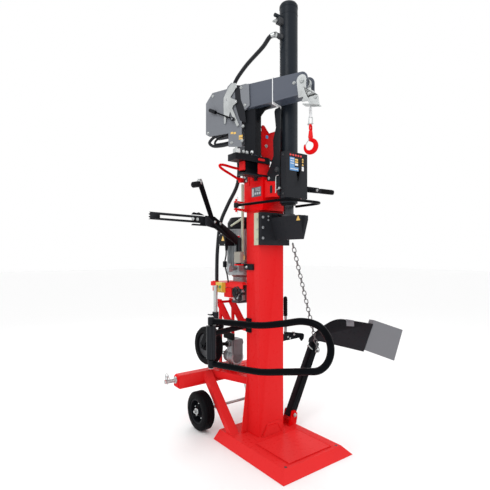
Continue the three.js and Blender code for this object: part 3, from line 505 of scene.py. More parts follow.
# ---------------------------------------------------------------- carried-over CAD nodes
CAD_FINISH = {
    "red_paint": RED,
    "black_paint": BLACK,
    "grey_paint": CHARCOAL,
    "light_grey_paint": WING_GREY,
    "zinc": ZINC,
    "steel": STEEL,
    "cast_alloy": CAST,
    "tyre_rubber": TYRE,
    "hose_rubber": HOSE,
    "liner_plastic": CREAM,
    "switch_plastic": YELLOW,
    "start_plastic": GREEN,
    "stop_plastic": STOP_RED,
    "black_plastic": PLASTIC,
}
OWN_FINISH = {
    "cylinder_tube": RAM_GREY,
    "cylinder_cap": RAM_GREY,
    "winch_housing": PLATE_GREY,
    "stroke_rod": CREAM_PAINT,
    "jockey_fork": BLACK,
    "cheek_left": SLATE,
    "cheek_right": SLATE,
    "axle": ZINC,
    "piston_rod": ROD_DARK_REFLECTION,
    "pto_gearbox": MID_CAST,
    "hydraulic_pump": DARK_CAST,
    "jockey_clamp": BLACK,
}


def finish_cad_nodes():
    slots = {s["node"]: s["material_slot"] for s in frame["record"]["subparts"]}
    for name, node in nodes.items():
        material = OWN_FINISH.get(name, CAD_FINISH[slots[name]])
        node.data.materials.clear()
        node.data.materials.append(material)


finish_cad_nodes()


# ---------------------------------------------------------------- boom and winch
def oval(cx, cz, width, height, steps=10):
    """Outline of a slot with round ends, upright when it is taller than wide."""
    r = min(width, height) / 2
    dx, dz = width / 2 - r, height / 2 - r
    points = []
    for k in range(4):
        sx, sz = ((1, 1), (-1, 1), (-1, -1), (1, -1))[k]
        for i in range(steps + 1):
            t = math.radians(90 * (k + i / steps))
            points.append((cx + sx * dx + r * math.cos(t), cz + sz * dz + r * math.sin(t)))
    return points


def make_boom():
    near = -46.4
    # Zinc plate coloured white: a painted highlight for its blown-out glare.
    collar = Shape(BOOM)
    collar.block(166, 171, -49, 49, 2064, 2220)
    collar.make("boom_collar_painted_highlight", WHITE, "boom", "zinc", bevel=1)
    root = [(-60, 2224), (8, 2220), (13, 2088), (-22, 2068), (-52, 2138)]
    Shape(BOOM).plate("y", root, -55, -52.7).make(
        "boom_root_plate", PLATE_GREY, "boom", "grey_paint", bevel=0.8
    )
    # Black plate filling the dark gap between the linkage and the boom: painted shade.
    shade_gap = [(-100, 2238), (-61, 2226), (-53, 2136), (-23, 2066), (-14, 1990), (-60, 2012),
           (-92, 2104)]
    Shape(BOOM).plate("y", shade_gap, -54, -52.7).make("winch_gap_shade_plate", BLACK, "boom", "black_paint")
    # Black sleeve over the charcoal post and its gusset: painted shade, as they stand in shadow.
    sleeve = Shape(BOOM)
    sleeve.block(-39, 39, -33.2, 33.2, 1793, 2073)
    sleeve.plate("y", [(38, 1990), (54, 2034), (80, 2060), (128, 2075), (38, 2075)], -12, 12)
    sleeve.make("boom_post_shade_sleeve", BLACK, "boom", "black_paint", bevel=1.5)
    bolts = Shape(BOOM)
    for x, y, z in (
        (-49, -55, 2208), (-20, -55, 2096), (308, near, 2153),
        (-272, -52.7, 2207), (-312, -52.7, 1978), (-37, -52.7, 1974), (-44, -52.7, 1887),
        (-122, -52.7, 1885),
    ):
        bolts.bolt((x, y, z), FRONT, 9)
    bolts.make("boom_bolts", ZINC, "boom", "zinc")

    main = [(-140, 2232), (-116, 2250), (-86, 2244), (-76, 2228), (-96, 2200), (-126, 2168),
            (-122, 2140), (-92, 2124), (-128, 2088), (-138, 2048), (-160, 2048), (-164, 2012),
            (-176, 2010), (-181, 2120), (-180, 2172), (-168, 2192)]
    Shape(BOOM).plate("y", main, -61.5, -58.7).make("winch_linkage", ZINC, "boom", "zinc", bevel=0.8)
    second = [(-130, 2164), (-76, 2136), (-74, 2122), (-104, 2108), (-110, 2092), (-58, 1980),
            (-74, 1974), (-128, 2078), (-136, 2104), (-146, 2128)]
    Shape(BOOM).plate("y", second, -65, -62).make("winch_pawl", ZINC, "boom", "zinc", bevel=0.8)
    pins = Shape(BOOM)
    for x, z in ((-83, 2218), (-160, 2159), (-88, 2130)):
        pins.bolt((x, -61.5, z), FRONT, 7)
    pins.make("winch_linkage_bolts", STEEL, "boom", "zinc")

    film = Shape(BOOM)
    for x0, x1, z0, z1 in ((-130, -112, 1940, 1952), (-108, -90, 1936, 1948),
            (-68, -40, 1908, 1922), (-68, -40, 1896, 1904)):
        film.block(x0, x1, -53.1, -52.5, z0, z1)
    film.make("winch_label_blocks", AMBER, "boom", "light_grey_paint")
    loop = smooth_line([(-150, -30, 1962), (-210, -30, 1962), (-290, -30, 1948),
            (-322, -28, 1922), (-300, -24, 1900), (-230, -20, 1890),
            (-152, -20, 1892)], 8)
    Shape(BOOM).pipe(loop, 9.5).make("winch_hose_loop", HOSE, "boom", "hose_rubber")
    second_loop = smooth_line([(-150, -8, 1956), (-220, -8, 1950), (-286, -6, 1936),
            (-296, -4, 1916), (-240, -2, 1910), (-152, 0, 1912)], 8)
    Shape(BOOM).pipe(second_loop, 7).make("winch_hose_inner", HOSE, "boom", "hose_rubber")


def make_boom_tip():
    x = 387
    frame_bits = Shape(BOOM)
    block = [(380, 2096), (398, 2050), (426, 2082), (458, 2050), (466, 1990), (424, 2006)]
    frame_bits.plate("y", block, -60, -52.6)
    frame_bits.plate("y", [(372, 2012), (464, 1992), (466, 1996), (374, 2018)], -72, -30)
    frame_bits.make("limit_switch_bracket", ZINC, "boom", "zinc", bevel=0.8)
    plate_bolts = Shape(BOOM)
    plate_bolts.bolt((358, -51.6, 2152), FRONT, 14)
    plate_bolts.bolt((408, -60, 2068), FRONT, 8)
    plate_bolts.bolt((444, -60, 2040), FRONT, 10)
    plate_bolts.make("boom_tip_bolts", ZINC, "boom", "zinc")

    rope_piece = Shape(BOOM)
    rope_piece.bar((x, 0, 1990), (x, 0, 2146), 3.4, 12)
    rope_piece.make("winch_rope", CAST, "hook", "zinc")
    sleeve = Shape(BOOM)
    sleeve.bar((x, 0, 1958), (x, 0, 2012), 8.5, 20)
    for z in (1964, 1972, 1980, 1988, 1996, 2004):
        sleeve.bar((x, 0, z), (x, 0, z + 3), 9.4, 20)
    sleeve.make("rope_sleeve", WHITE, "hook", "zinc", bevel=0.5)
    shackle = Shape(BOOM)
    shackle.link((x, 0, 1940), UP, (0.7, 0.7, 0), 52, 27, 6.5)
    shackle.bolt((x - 14, 0, 1922), LEFT, 5)
    shackle.bar((x - 15, 0, 1922), (x + 15, 0, 1922), 3.5, 12)
    shackle.make("hook_shackle", ZINC, "hook", "zinc")
    eye = Shape(BOOM)
    eye.link((x, 0, 1900), UP, BACK, 44, 34, 10, sides=14)
    eye.cone((x, 0, 1882), (x, 0, 1848), 10, 14)
    eye.cone((x, 0, 1848), (x, 0, 1838), 14, 10)
    centre = Vector((x - 2, 0, 1798))
    line, widths = [], []
    for i in range(27):
        t = i / 26
        a = math.radians(88 - 292 * t)
        line.append(centre + Vector((34 * math.cos(a), 0, 34 * math.sin(a))))
        widths.append(10 + 4.5 * math.sin(math.pi * min(1, t * 1.25)) - (5.5 * t**6))
    line = [Vector((x, 0, 1842)), *line]
    widths = [10, *widths]
    eye.pipe(line, widths, 16)
    hook = eye.make("swivel_hook", RED, "hook", "red_paint")
    catch = Shape(BOOM)
    catch.pipe([(x - 8, 0, 1838), (x - 22, 0, 1822), (x - 33, 0, 1806)], 2.6, 10)
    catch.bar((x - 9, -9, 1838), (x - 9, 9, 1838), 3.2, 12)
    catch.make("hook_catch", STEEL, "hook", "zinc")
    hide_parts("hook_block")


make_boom()
make_boom_tip()


# ---------------------------------------------------------------- swivel plate and head
def make_head():
    horn = [(-101, 1990), (-94, 1999), (-82, 1999), (-72, 1990), (-60, 1976), (-46, 1954),
            (-30, 1962), (18, 1982), (26, 1960), (24, 1790.5), (-92, 1790.5), (-110, 1826),
            (-112, 1894), (-111, 1940), (-106, 1950), (-98, 1966)]
    Shape().plate("y", horn, -69.5, -61.5).make(
        "horn_plate", RED, "frame", "red_paint", bevel=1
    )
    dot = Shape()
    dot.bar((-60, -69.5, 1930), (-60, -71, 1930), 11, 28)
    dot.make("horn_plate_dot", BLUE, "frame", "light_grey_paint")
    bolts = Shape()
    bolts.bolt((-66, -69.5, 1872), FRONT, 10)
    bolts.bolt((-116, -25, 1686), LEFT, 8)
    bolts.bolt((-95.4, -131, 1659), LEFT, 9)
    bolts.make("head_bolts", ZINC, "frame", "zinc")

    seat = Shape()
    seat.block(-150, -58, -93, -27, 1684.6, 1751.6)
    seat.block(-254, -226, -84, -40, 1700, 1751.6)
    seat.block(-118, -112.4, 40, 68, 1636, 1742)
    seat.block(-118, -112.4, 2, 26, 1660, 1736)
    seat.block(-114, -60, 2, 68, 1673, 1690)
    seat.plate("y", oval(-132, 1771, 54, 15), -105.2, -103.8)
    seat.make("swivel_seat", RED, "frame", "red_paint", bevel=1.2)
    brace = Shape()
    brace.block(-116, -112.4, -42, -10, 1656, 1722)
    brace.make("head_tie_plate", BLACK, "frame", "black_paint", bevel=0.8)
    side = [(-92.6, 1654), (-112, 1654), (-112, 1643.5), (-196, 1631), (-205, 1556), (-216, 1536),
            (-160, 1543), (-92.6, 1547)]
    for sign, suffix in SIDES:
        low, high = sorted((sign * 89, sign * 95.5))
        wing = Shape().plate("x", side, low, high)
        wing.make("head_side_plate_" + suffix, RED, "frame", "red_paint", bevel=1)
    # Black oval inside the slot: painted shade of the hole's interior.
    slot = Shape()
    slot.plate("x", oval(-153, 1589, 25, 50), -96.2, -95.2)
    slot.make("head_slot", BLACK, "frame", "black_paint")
    rim = Shape()
    rim.pipe([(-96.2, y, z) for y, z in oval(-153, 1589, 27, 52)], 1.4, 8, closed=True)
    rim.make("head_slot_rim", RED, "frame", "red_paint")

    plate = Shape()
    plate.block(-113.2, -111.8, -76, 18, 1557, 1617)
    plate.make("rating_plate", CHARCOAL, "frame", "black_paint")
    rows = Shape()
    for z in (1608, 1600, 1592):
        rows.block(-113.6, -113, -70, -20, z, z + 3.6)
    for y in (-72, -50, -28):
        rows.block(-113.6, -113, y, y + 15, 1570, 1584)
    rows.block(-113.6, -113, -4, 12, 1562, 1610)
    rows.make("rating_plate_blocks", SILVER_FILM, "frame", "zinc")

    valve = Shape()
    valve.block(-318, -288, -98, -66, 1790.6, 1816)
    valve.bar((-303, -82, 1810), (-303, -82, 1826), 9, 6)
    valve.ball((-186, -84, 1812), 14)
    valve.bar((-186, -84, 1790), (-186, -84, 1802), 7, 16)
    valve.bolt((-262, -94, 1803), FRONT, 9)
    valve.bolt((-236, -94, 1803), FRONT, 9)
    valve.bolt((-122, 78, 1692), LEFT, 9)
    valve.bolt((-122, 62, 1668), LEFT, 7)
    valve.make("swivel_fittings", ZINC, "frame", "zinc")
    casting = Shape()
    casting.block(-286, -222, -94, -48, 1790.6, 1812)
    casting.block(-122, -112.4, 52, 104, 1660, 1704)
    casting.make("swivel_clamp", DARK_CAST, "frame", "cast_alloy", bevel=2)
    pin = Shape()
    pin.pipe(smooth_line([(-242, -6, 1548), (-240, -8, 1542), (-242, -9, 1528), (-246, -6, 1512)]),
            1.6, 8)
    pin.pipe(smooth_line([(-242, -6, 1446), (-240, -8, 1452), (-243, -9, 1462)]), 1.6, 8)
    pin.make("finger_split_pin", ZINC, "frame", "zinc")


make_head()


# ---------------------------------------------------------------- cylinder, carriage and cover
def make_ram():
    fittings = Shape()
    fittings.block(-92, -50, -218, -188, 2570, 2606)
    fittings.bar((-60, CYLINDER_Y, 2498), (-99, CYLINDER_Y, 2498), 15, 6)
    fittings.bar((-56, CYLINDER_Y, 2498), (-78, CYLINDER_Y, 2498), 17, 24)
    fittings.make("port_fittings", DARK_CAST, "frame", "grey_paint", bevel=1.5)
    plugs = Shape()
    plugs.cone((-88, CYLINDER_Y, 2588), (-116, CYLINDER_Y, 2574), 9, 9, 6)
    plugs.bar((-96, CYLINDER_Y, 2584), (-126, CYLINDER_Y, 2569), 5, 16)
    plugs.make("port_plug", ZINC, "frame", "zinc", bevel=0.6)
    seams = Shape()
    for z in (1548, 2640):
        seams.turned((0, CYLINDER_Y, z), UP, [(54, -1.5), (56, -1.5), (56, 1.5), (54, 1.5)], 64)
    seams.turned((0, CYLINDER_Y, 2686), UP, [(54, -4), (56.4, -3), (56.4, 2), (54, 3)], 64)
    seams.make("cylinder_rings", RAM_GREY, "frame", "grey_paint")
    bolts = Shape()
    for k in range(6):
        t = math.radians(30 + 60 * k)
        bolts.bolt((36 * math.cos(t), CYLINDER_Y + 36 * math.sin(t), 2714), UP, 4.5, head=5)
    bolts.make("cylinder_cap_bolts", STEEL, "frame", "zinc")
    wiper = Shape()
    wiper.turned((0, CYLINDER_Y, 1500), UP, [(31.6, -7), (42, -7), (44, -4), (44, 4.6),
            (31.6, 4.6)], 48)
    wiper.make("rod_wiper", PLASTIC, "frame", "black_plastic")


def make_carriage():
    bolts = Shape()
    for x, size, heights in ((104, 8.5, (1426, 1362, 1297)), (60, 6, (1432, 1410))):
        for z in heights:
            bolts.bolt((-x, -84.2, z), FRONT, size)
            bolts.bolt((x, -84.2, z), FRONT, size)
    bolts.make("carriage_bolts", CAST, "carriage", "zinc")
    welds = Shape()
    for x in (-39, 39):
        bead = [(x + 0.8 * math.sin(k * 1.7), -84.5, 1401 + k * 2.2) for k in range(11)]
        welds.pipe(bead, 3.2, 10)
    nose_bead = [(x, -85, 1426.5) for x in range(-36, 37, 6)]
    welds.pipe(nose_bead, 3.0, 10)
    welds.make("wedge_welds", BLACK, "carriage", "black_paint")
    film = Shape()
    film.plate("x", [(-324, 1422), (-309, 1393), (-341, 1393)], -39.2, -38.2)
    film.make("wedge_triangle", AMBER, "carriage", "light_grey_paint")
    cheeks = Shape()
    for sign in (-1, 1):
        low, high = sorted((sign * 22, sign * 30))
        outline = [(-84.2, 1426), (-84.2, 1450), (-150, 1426)]
        cheeks.plate("x", outline, low, high)
    cheeks.make("wedge_gussets", BLACK, "carriage", "black_paint", bevel=0.8)
    collar = Shape()
    collar.turned((0, CYLINDER_Y, 1431), UP, [(31.4, -5), (41, -5), (41, 5), (36, 9),
            (31.4, 9)], 40)
    collar.make("rod_foot_ring", DARK_CAST, "carriage", "black_paint")
    screws = Shape()
    for z in (1290, 1352, 1416):
        screws.bolt((-118.2, -45, z), LEFT, 5, head=3)
    screws.make("liner_screws", ZINC, "carriage", "zinc")


def make_shackle():
    shackle = Shape()
    shackle.bar((119, -92, 1298), (131, -92, 1298), 5, 20)
    shackle.make("chain_shackle", ZINC, "carriage", "zinc", bevel=0.5)


def make_cover():
    y0, y1 = -276, -274.9
    blue = Shape()
    blue.block(-58, -20, y0, y1, 1690, 1768)
    blue.block(-20, 12, y0, y1, 1690, 1712)
    blue.make("label_blue_blocks", BLUE, "frame", "light_grey_paint")
    red = Shape()
    for k in range(5):
        x = -52 + 21 * k
        red.plate("y", oval(x, 1782, 15, 11, 6), y0, y1)
    red.make("label_red_dots", STOP_RED, "frame", "red_paint")
    white = Shape()
    for z in (1758, 1744, 1730):
        white.block(-54, -24, y0 - 0.5, y0, z, z + 4)
    white.block(-16, 8, y0, y1, 1722, 1734)
    white.block(-54, 8, y0 - 0.5, y0, 1698, 1702)
    white.block(40, 56, y0, y1, 1696, 1722)
    white.make("label_white_blocks", WHITE, "frame", "light_grey_paint")
    amber = Shape()
    for z in (1752, 1738):
        amber.block(-16, 8, y0, y1, z, z + 10)
    for z in (1760, 1746, 1728):
        amber.plate("y", [(40, z), (56, z), (48, z + 13)], y0, y1)
    amber.make("label_amber_blocks", AMBER, "frame", "light_grey_paint")
    rim = Shape()
    rim.pipe([(-8, -275.2, 1700), (28, -275.2, 1700), (8, -275.2, 1628)], 1.2, 8, closed=True)
    rim.make("cover_slot_rim", BLACK, "frame", "black_paint")
    bolts = Shape()
    for x, y, z, size in ((87.4, -252, 1552, 7), (87.4, -252, 1780, 7), (95.4, -205, 1700, 15)):
        bolts.bolt((-x, y, z), LEFT, size)
        bolts.bolt((x, y, z), RIGHT, size)
    bolts.make("cover_bolts", DARK_CAST, "frame", "black_paint")


make_ram()
make_carriage()
make_shackle()
make_cover()


# ---------------------------------------------------------------- lifter, chain and latch
def make_chain():
    """Straight links from the carriage's lug to the arm, every other one turned."""
    lean = math.radians(LIFT_LEAN)
    lug = Vector(CHAIN_LUG)
    up, beside = CHAIN_UP_ARM, CHAIN_BESIDE_ARM
    end = Vector((
        LIFT_PIVOT[0] + up * math.sin(lean) + beside * math.cos(lean),
        -38,
        LIFT_PIVOT[2] + up * math.cos(lean) - beside * math.sin(lean),
    ))
    along = (end - lug).normalized()
    one, other = across(along)
    start = lug + along * 26
    length = (end - start).length - 4
    count = int(length / CHAIN_PITCH)
    pitch = length / count
    piece = Shape()
    for k in range(count):
        centre = start + along * (pitch * (k + 0.5))
        side = one - other * LINK_TURN if k % 2 else other + one * LINK_TURN
        piece.link(centre, along, side, pitch + 11, 29, 6.2, sides=10)
    chain = piece.make("lift_chain_links", CHAIN_STEEL, "chain", "zinc")
    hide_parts("lift_chain")
    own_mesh(chain)


def make_lifter():
    hook = Shape(LIFT)
    hook.pipe(smooth_line([(-24, -24, 452), (-46, -26, 454), (-66, -28, 458), (-80, -28, 462),
            (-86, -28, 456)]), 4.5, 12)
    hook.make("chain_hook", ZINC, "lifter", "zinc")
    lug = Shape(LIFT)
    lug.turned((CHAIN_BESIDE_ARM, -25, CHAIN_UP_ARM), FRONT, [(7.2, 0), (14, 0), (15, 3), (15, 7), (13, 10),
            (7.2, 10)], 32)
    lug.bolt((CHAIN_BESIDE_ARM, -46.8, CHAIN_UP_ARM), FRONT, 8)
    lug.make("chain_lug", ZINC, "lifter", "zinc")
    tab = Shape(LIFT)
    tab.plate("x", [(-236, 703), (-300, 703), (-316, 664), (-256, 657)], -35.2, -33.2)
    tab.plate("x", [(-236, 703), (-300, 703), (-300, 694), (-238, 694)], -40, -25)
    tab.make("lift_plate_patch", PLATE_GREY, "lifter", "grey_paint", bevel=0.6)
    pin = Shape()
    pin.bolt((LIFT_PIVOT[0], -39, LIFT_PIVOT[2]), FRONT, 12)
    pin.bolt((LIFT_PIVOT[0], 49, LIFT_PIVOT[2]), BACK, 12)
    pin.make("lift_pin_heads", ZINC, "frame", "zinc")


def make_latch():
    x, z = 200, 634
    bar = Shape()
    bar.block(x - 12, x + 4, 31, 42, z - 4, z + 150)
    bar.make("latch_bar", ZINC, "latch", "zinc", bevel=1)
    arm = Shape()
    outline = [(x - 15, z + 34), (x - 15, z - 14), (x + 8, z - 27), (x + 126, z - 23),
            (x + 146, z - 50), (x + 166, z - 34), (x + 170, z - 6), (x + 156, z + 4),
            (x + 70, z + 20), (x + 20, z + 28)]
    arm.plate("y", outline, 30.6, 42.6)
    hook = arm.make("latch_arm", BLACK, "latch", "black_paint", bevel=1.2)
    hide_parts("latch_hook")
    shell = Shape()
    shell.plate("y", [(100.6, 606), (217, 614), (217, 652), (100.6, 662)], 16, 30.2)
    shell.make("latch_bracket_plate", BLACK, "frame", "black_paint", bevel=1)
    grip = Shape()
    grip.bar((x - 6, 36, z + 142), (x - 7, 36, z + 262), 13.5, 28)
    for k in range(7):
        rib = [(13, -3), (14.6, -2), (14.6, 2), (13, 3)]
        grip.turned((x - 6, 36, z + 158 + 15 * k), UP, rib, 28)
    grip.ball((x - 7, 36, z + 262), 13.5)
    grip.make("latch_grip", GRIP, "latch", "black_plastic")
    knob = Shape()
    knob.bolt((x, 30, z), FRONT, 15)
    knob.ball((x + 20, 22, z - 14), 10)
    knob.bar((x + 70, 27, z + 22), (x + 70, 46, z + 22), 5, 16)
    knob.bolt((x + 70, 30.2, z + 6), FRONT, 7)
    knob.make("latch_fittings", ZINC, "latch", "zinc")


make_chain()
make_lifter()
make_latch()


# ---------------------------------------------------------------- guard and finger hoops
def make_hoops():
    top, bottom = 815, 572
    rise, turn_at = 57, 612
    middle = (top + bottom) / 2 + rise
    reach = (top - bottom) / 2
    path = [(14, 0, top), (180, 0, top + 4), (340, 0, top + 10), (480, 0, top + 34),
            (turn_at - 20, 0, top + rise - 2)]
    for step in range(1, 6):
        angle = math.radians(90 - step * 30)
        path.append((turn_at + reach * math.cos(angle), 0, middle + reach * math.sin(angle)))
    path += [(turn_at - 20, 0, bottom + rise - 2), (480, 0, bottom + 34), (340, 0, bottom + 10),
            (180, 0, bottom + 4), (14, 0, bottom)]
    hoop = Shape(GUARD)
    hoop.pipe(smooth_line(path, 12), 17.5, 32)
    for z in (top, bottom):
        hoop.turned((0, 0, z), UP, ring_profile(10.4, 19, 21), 40)
    guard = hoop.make("guard_hoop_tube", BLACK, "guard", "black_paint")
    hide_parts("guard_hoop")
    caps = Shape(GUARD)
    for z in (bottom - 26, top + 26):
        caps.bar((0, 0, z - 2), (0, 0, z + 1), 14, 28)
    caps.make("guard_pin_caps", ZINC, "frame", "zinc", bevel=0.6)

    x, y, z = -242, 6, 1496
    path = [(x + 2, y - 10, z), (x + 26, -190, z), (-194, -350, z), (-176, -388, z),
            (-130, -396, z), (0, -398, z), (56, -394, z), (84, -372, z), (92, -330, z),
            (92, -172, z)]
    hoop = Shape()
    hoop.pipe(smooth_line(path, 12), 8, 24)
    hoop.turned((x, y, z), UP, ring_profile(6.4, 15, 14), 32)
    finger = hoop.make("finger_hoop_rod", BLACK, "finger", "black_paint")
    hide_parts("finger_hoop")


make_hoops()


# ---------------------------------------------------------------- control arms
def make_arms():
    left = Shape(LEFT_ARM)
    for x, z in ((255, 1389), (201, 1383)):
        left.bolt((x, 5.4, z), BACK, 8)
    left.turned((389, 0, 1608), BACK, ring_profile(6, 16, 8, slope=2), 32)
    left.bolt((389, 7, 1608), BACK, 6)
    left.make("left_arm_bolts", ZINC, "left_arm", "zinc")
    grips = Shape(GRIPPER)
    for x, z in ((123, 1400), (90, 1399)):
        grips.bolt((x, -21, z), BACK, 9)
    grips.make("gripper_bolts", ZINC, "left_arm", "zinc")
    pads = Shape(GRIPPER)
    pads.plate("y", [(40, 1424), (132, 1424), (118, 1438), (100, 1434), (84, 1440), (60, 1432)],
            -27, -16)
    pads.plate("y", [(22, 1362), (132, 1362), (124, 1372), (26, 1372)], -27, -16)
    pads.make("gripper_pads", BLACK, "left_arm", "black_paint", bevel=1)
    knob = Shape(LEFT_ARM)
    knob.turned((421, 0, 1588), BACK, ring_profile(0.4, 17, 26, inset=4, slope=5), 36)
    knob.make("left_arm_knob", GRIP, "left_arm", "black_plastic")
    bearing = Shape(LEFT_ARM)
    bearing.block(-25, 23, -24, 26, 1139, 1214)
    bearing.make("left_arm_bearing", STONE, "left_arm", "cast_alloy", bevel=9)
    screws = Shape(LEFT_ARM)
    for z in (1160, 1194):
        screws.bolt((4, -24, z), FRONT, 6, head=3)
    screws.make("left_bearing_screws", STEEL, "left_arm", "zinc")
    right = Shape(RIGHT_ARM)
    right.bolt((338, -5.4, 1656), FRONT, 11)
    right.make("right_arm_bolts", ZINC, "right_arm", "zinc")
    grip = Shape(RIGHT_ARM)
    grip.turned((364, 0, 1652.6), (1, 0, -0.046), [(0.4, 0), (16, 0), (18, 3), (18, 96),
            (16, 104), (8, 108), (0.4, 109)], 36)
    grip.make("right_arm_grip", GRIP, "right_arm", "black_plastic")
    brass = Shape()
    brass.bar((STROKE_ROD_X, HINGE_Y, 1158), (STROKE_ROD_X, HINGE_Y, 1188), 16, 6)
    brass.bar((STROKE_ROD_X, HINGE_Y, 1188), (STROKE_ROD_X, HINGE_Y, 1196), 12, 24)
    brass.make("stroke_rod_nut", BRASS, "frame", "zinc", bevel=0.8)
    stay = Shape()
    stay.block(-114, -100.4, 8, 92, 1096, 1135)
    stay.block(-130, -112, 78, 90, 1120, 1135)
    stay.make("left_hinge_block", BLACK, "frame", "black_paint", bevel=1)
    stay_bolt = Shape()
    stay_bolt.bolt((-114, 70, 1115), LEFT, 9)
    stay_bolt.make("left_hinge_bolt", ZINC, "frame", "zinc")


make_arms()


# ---------------------------------------------------------------- motor, shelf and gearbox
def make_motor():
    fins = Shape()
    for k in range(44):
        t = 2 * math.pi * k / 44
        out = Vector((math.cos(t), math.sin(t), 0))
        side = Vector((-out.y, out.x, 0)) * 1.5
        root = Vector((0, MOTOR_Y, 0)) + out * 93
        tip = Vector((0, MOTOR_Y, 0)) + out * 103
        ring = [root - side, tip - side * 0.7, tip + side * 0.7, root + side]
        fins.loft([[p + Vector((0, 0, z)) for p in ring] for z in (1086, 1364)])
    fins.make("motor_fins", CAST, "frame", "cast_alloy")
    grille = Shape()
    for r in (24, 40, 56, 72):
        grille.turned((0, MOTOR_Y, 1450), UP, [(r, -1), (r + 5, -1), (r + 5, 1.6), (r, 1.6)], 48)
    grille.turned((0, MOTOR_Y, 1374), UP, [(100, 0), (103, 0), (103, 8), (100, 8)], 60)
    grille.make("fan_grille", PLASTIC, "frame", "black_plastic")
    bolts = Shape()
    for k in range(8):
        t = math.radians(22.5 + 45 * k)
        bolts.bolt((88 * math.cos(t), MOTOR_Y + 88 * math.sin(t), 1056), DOWN, 6)
    for z in (1262, 1328):
        for y in (244, 306):
            bolts.bolt((-165.4, y, z), LEFT, 5, head=3)
    bolts.make("motor_bolts", ZINC, "frame", "zinc")
    fittings = Shape()
    fittings.block(-172, -140, 186, 214, 1082, 1120)
    fittings.bar((-156, 200, 1120), (-156, 200, 1136), 11, 6)
    fittings.bar((-140, 204, 1100), (-88, 224, 1100), 10, 20)
    fittings.block(-100, -66, 172, 196, 1086, 1122)
    fittings.make("motor_fittings", CAST, "frame", "cast_alloy", bevel=2)
    film = Shape()
    film.plate("x", [(281, 1288), (247, 1288), (264, 1322)], -168.8, -167.5)
    film.make("terminal_triangle", AMBER, "frame", "light_grey_paint")
    lid = Shape()
    lid.plate("x", [(234, 1257), (316, 1257), (316, 1333), (234, 1333)], -168, -165.2)
    lid.bar((-140, 262, 1256), (-140, 262, 1236), 10, 6)
    lid.bar((-140, 262, 1240), (-142, 262, 1222), 8, 20)
    lid.make("terminal_lid", PLASTIC, "frame", "black_plastic", bevel=1)
    wire = Shape()
    route = smooth_line([(-142, 262, 1226), (-146, 258, 1190), (-160, 250, 1150),
            (-162, 244, 1112), (-150, 240, 1062), (-132, 250, 1006)], 10)
    wire.pipe(route, 5, 14)
    wire.make("motor_lead", HOSE, "frame", "hose_rubber")
    clip = Shape()
    clip.turned((-162, 248, 1130), UP, ring_profile(5, 14, 20, slope=4), 24)
    clip.make("motor_lead_joint", PLASTIC, "frame", "black_plastic")


def make_shelf():
    """Folded edges, hoses and gusset of the shelf, and the plate beside the switches."""
    roof = Shape()
    roof.plate("y", [(-134.8, 1003.2), (-134.8, 1012), (-104, 1016), (-104, 1003.2)], 92, 268)
    roof.make("shelf_fold", RED, "frame", "red_paint", bevel=1)
    guard_plate = Shape()
    guard_plate.block(-165, -136, 360.4, 366, 942, 1012)
    guard_plate.block(-165, -158, 366, 398, 942, 1012)
    guard_plate.make("switch_guard", RED, "frame", "red_paint", bevel=1)
    fold = Shape()
    fold.block(-134, -100, 214, 300, 905, 970)
    fold.make("shelf_gusset", RED, "frame", "red_paint", bevel=1)
    under = Shape()
    for dy, dz, r in ((0, 0, 44), (26, 6, 34)):
        ring = ring_points((-128, 150 + dy, 938 + dz), (0.2, 0.98, 0), UP, r, 200, 520, 22)
        under.pipe(ring, 8, 14)
    under.pipe(smooth_line([(-100, 100, 968), (-118, 122, 940), (-120, 136, 905),
            (-96, 150, 886)]), 8, 14)
    under.make("shelf_hoses", HOSE, "frame", "hose_rubber")
    joints = Shape()
    joints.block(-112, -86, 120, 176, 894, 930)
    joints.bar((-112, 148, 912), (-134, 148, 912), 12, 6)
    joints.bar((-104, 110, 958), (-126, 110, 958), 11, 6)
    joints.bar((-110, 190, 900), (-130, 190, 900), 12, 6)
    joints.make("shelf_hose_joints", CAST, "frame", "cast_alloy", bevel=1.5)


def make_gearbox():
    bolts = Shape()
    for k in range(6):
        t = math.radians(60 * k)
        bolts.bolt((36 * math.cos(t), 438.4, DRIVE_SHAFT_Z + 36 * math.sin(t)), BACK, 5)
    bolts.make("gearbox_bolts", ZINC, "frame", "zinc")
    case = Shape()
    case.turned((0, 330, DRIVE_SHAFT_Z), BACK, [(40, -4), (52, -4), (54, 0), (54, 10), (50, 14),
            (50, 40), (56, 44), (56, 54), (50, 58), (40, 58)], 48)
    case.block(-46, -40.2, 326, 392, 500, 584)
    case.make("gearbox_ribs", CAST, "frame", "cast_alloy", bevel=1)
    lever = Shape()
    lever.bar((-62, 360, 560), (-96, 352, 566), 9, 20)
    lever.bar((-88, 353, 565), (-112, 348, 569), 12, 24)
    lever.ball((-112, 348, 569), 12)
    lever.block(-58, -44, 300, 420, 596, 640)
    lever.make("gearbox_lever", GRIP, "frame", "black_plastic")
    ring = Shape()
    ring.bar((-62, 360, 560), (-70, 358, 561), 22, 32)
    ring.bolt((-40.2, 340, 520), LEFT, 8)
    ring.bolt((-40.2, 380, 520), LEFT, 8)
    ring.make("gearbox_caps", ZINC, "frame", "zinc", bevel=1)
    splines = Shape()
    for k in range(6):
        t = math.radians(60 * k + 30)
        centre = Vector((16.5 * math.cos(t), 0, DRIVE_SHAFT_Z + 16.5 * math.sin(t)))
        splines.bar(centre + Vector((0, 452, 0)), centre + Vector((0, 496, 0)), 3.2, 8)
    splines.make("drive_splines", STEEL, "frame", "steel")


make_motor()
make_shelf()
make_gearbox()


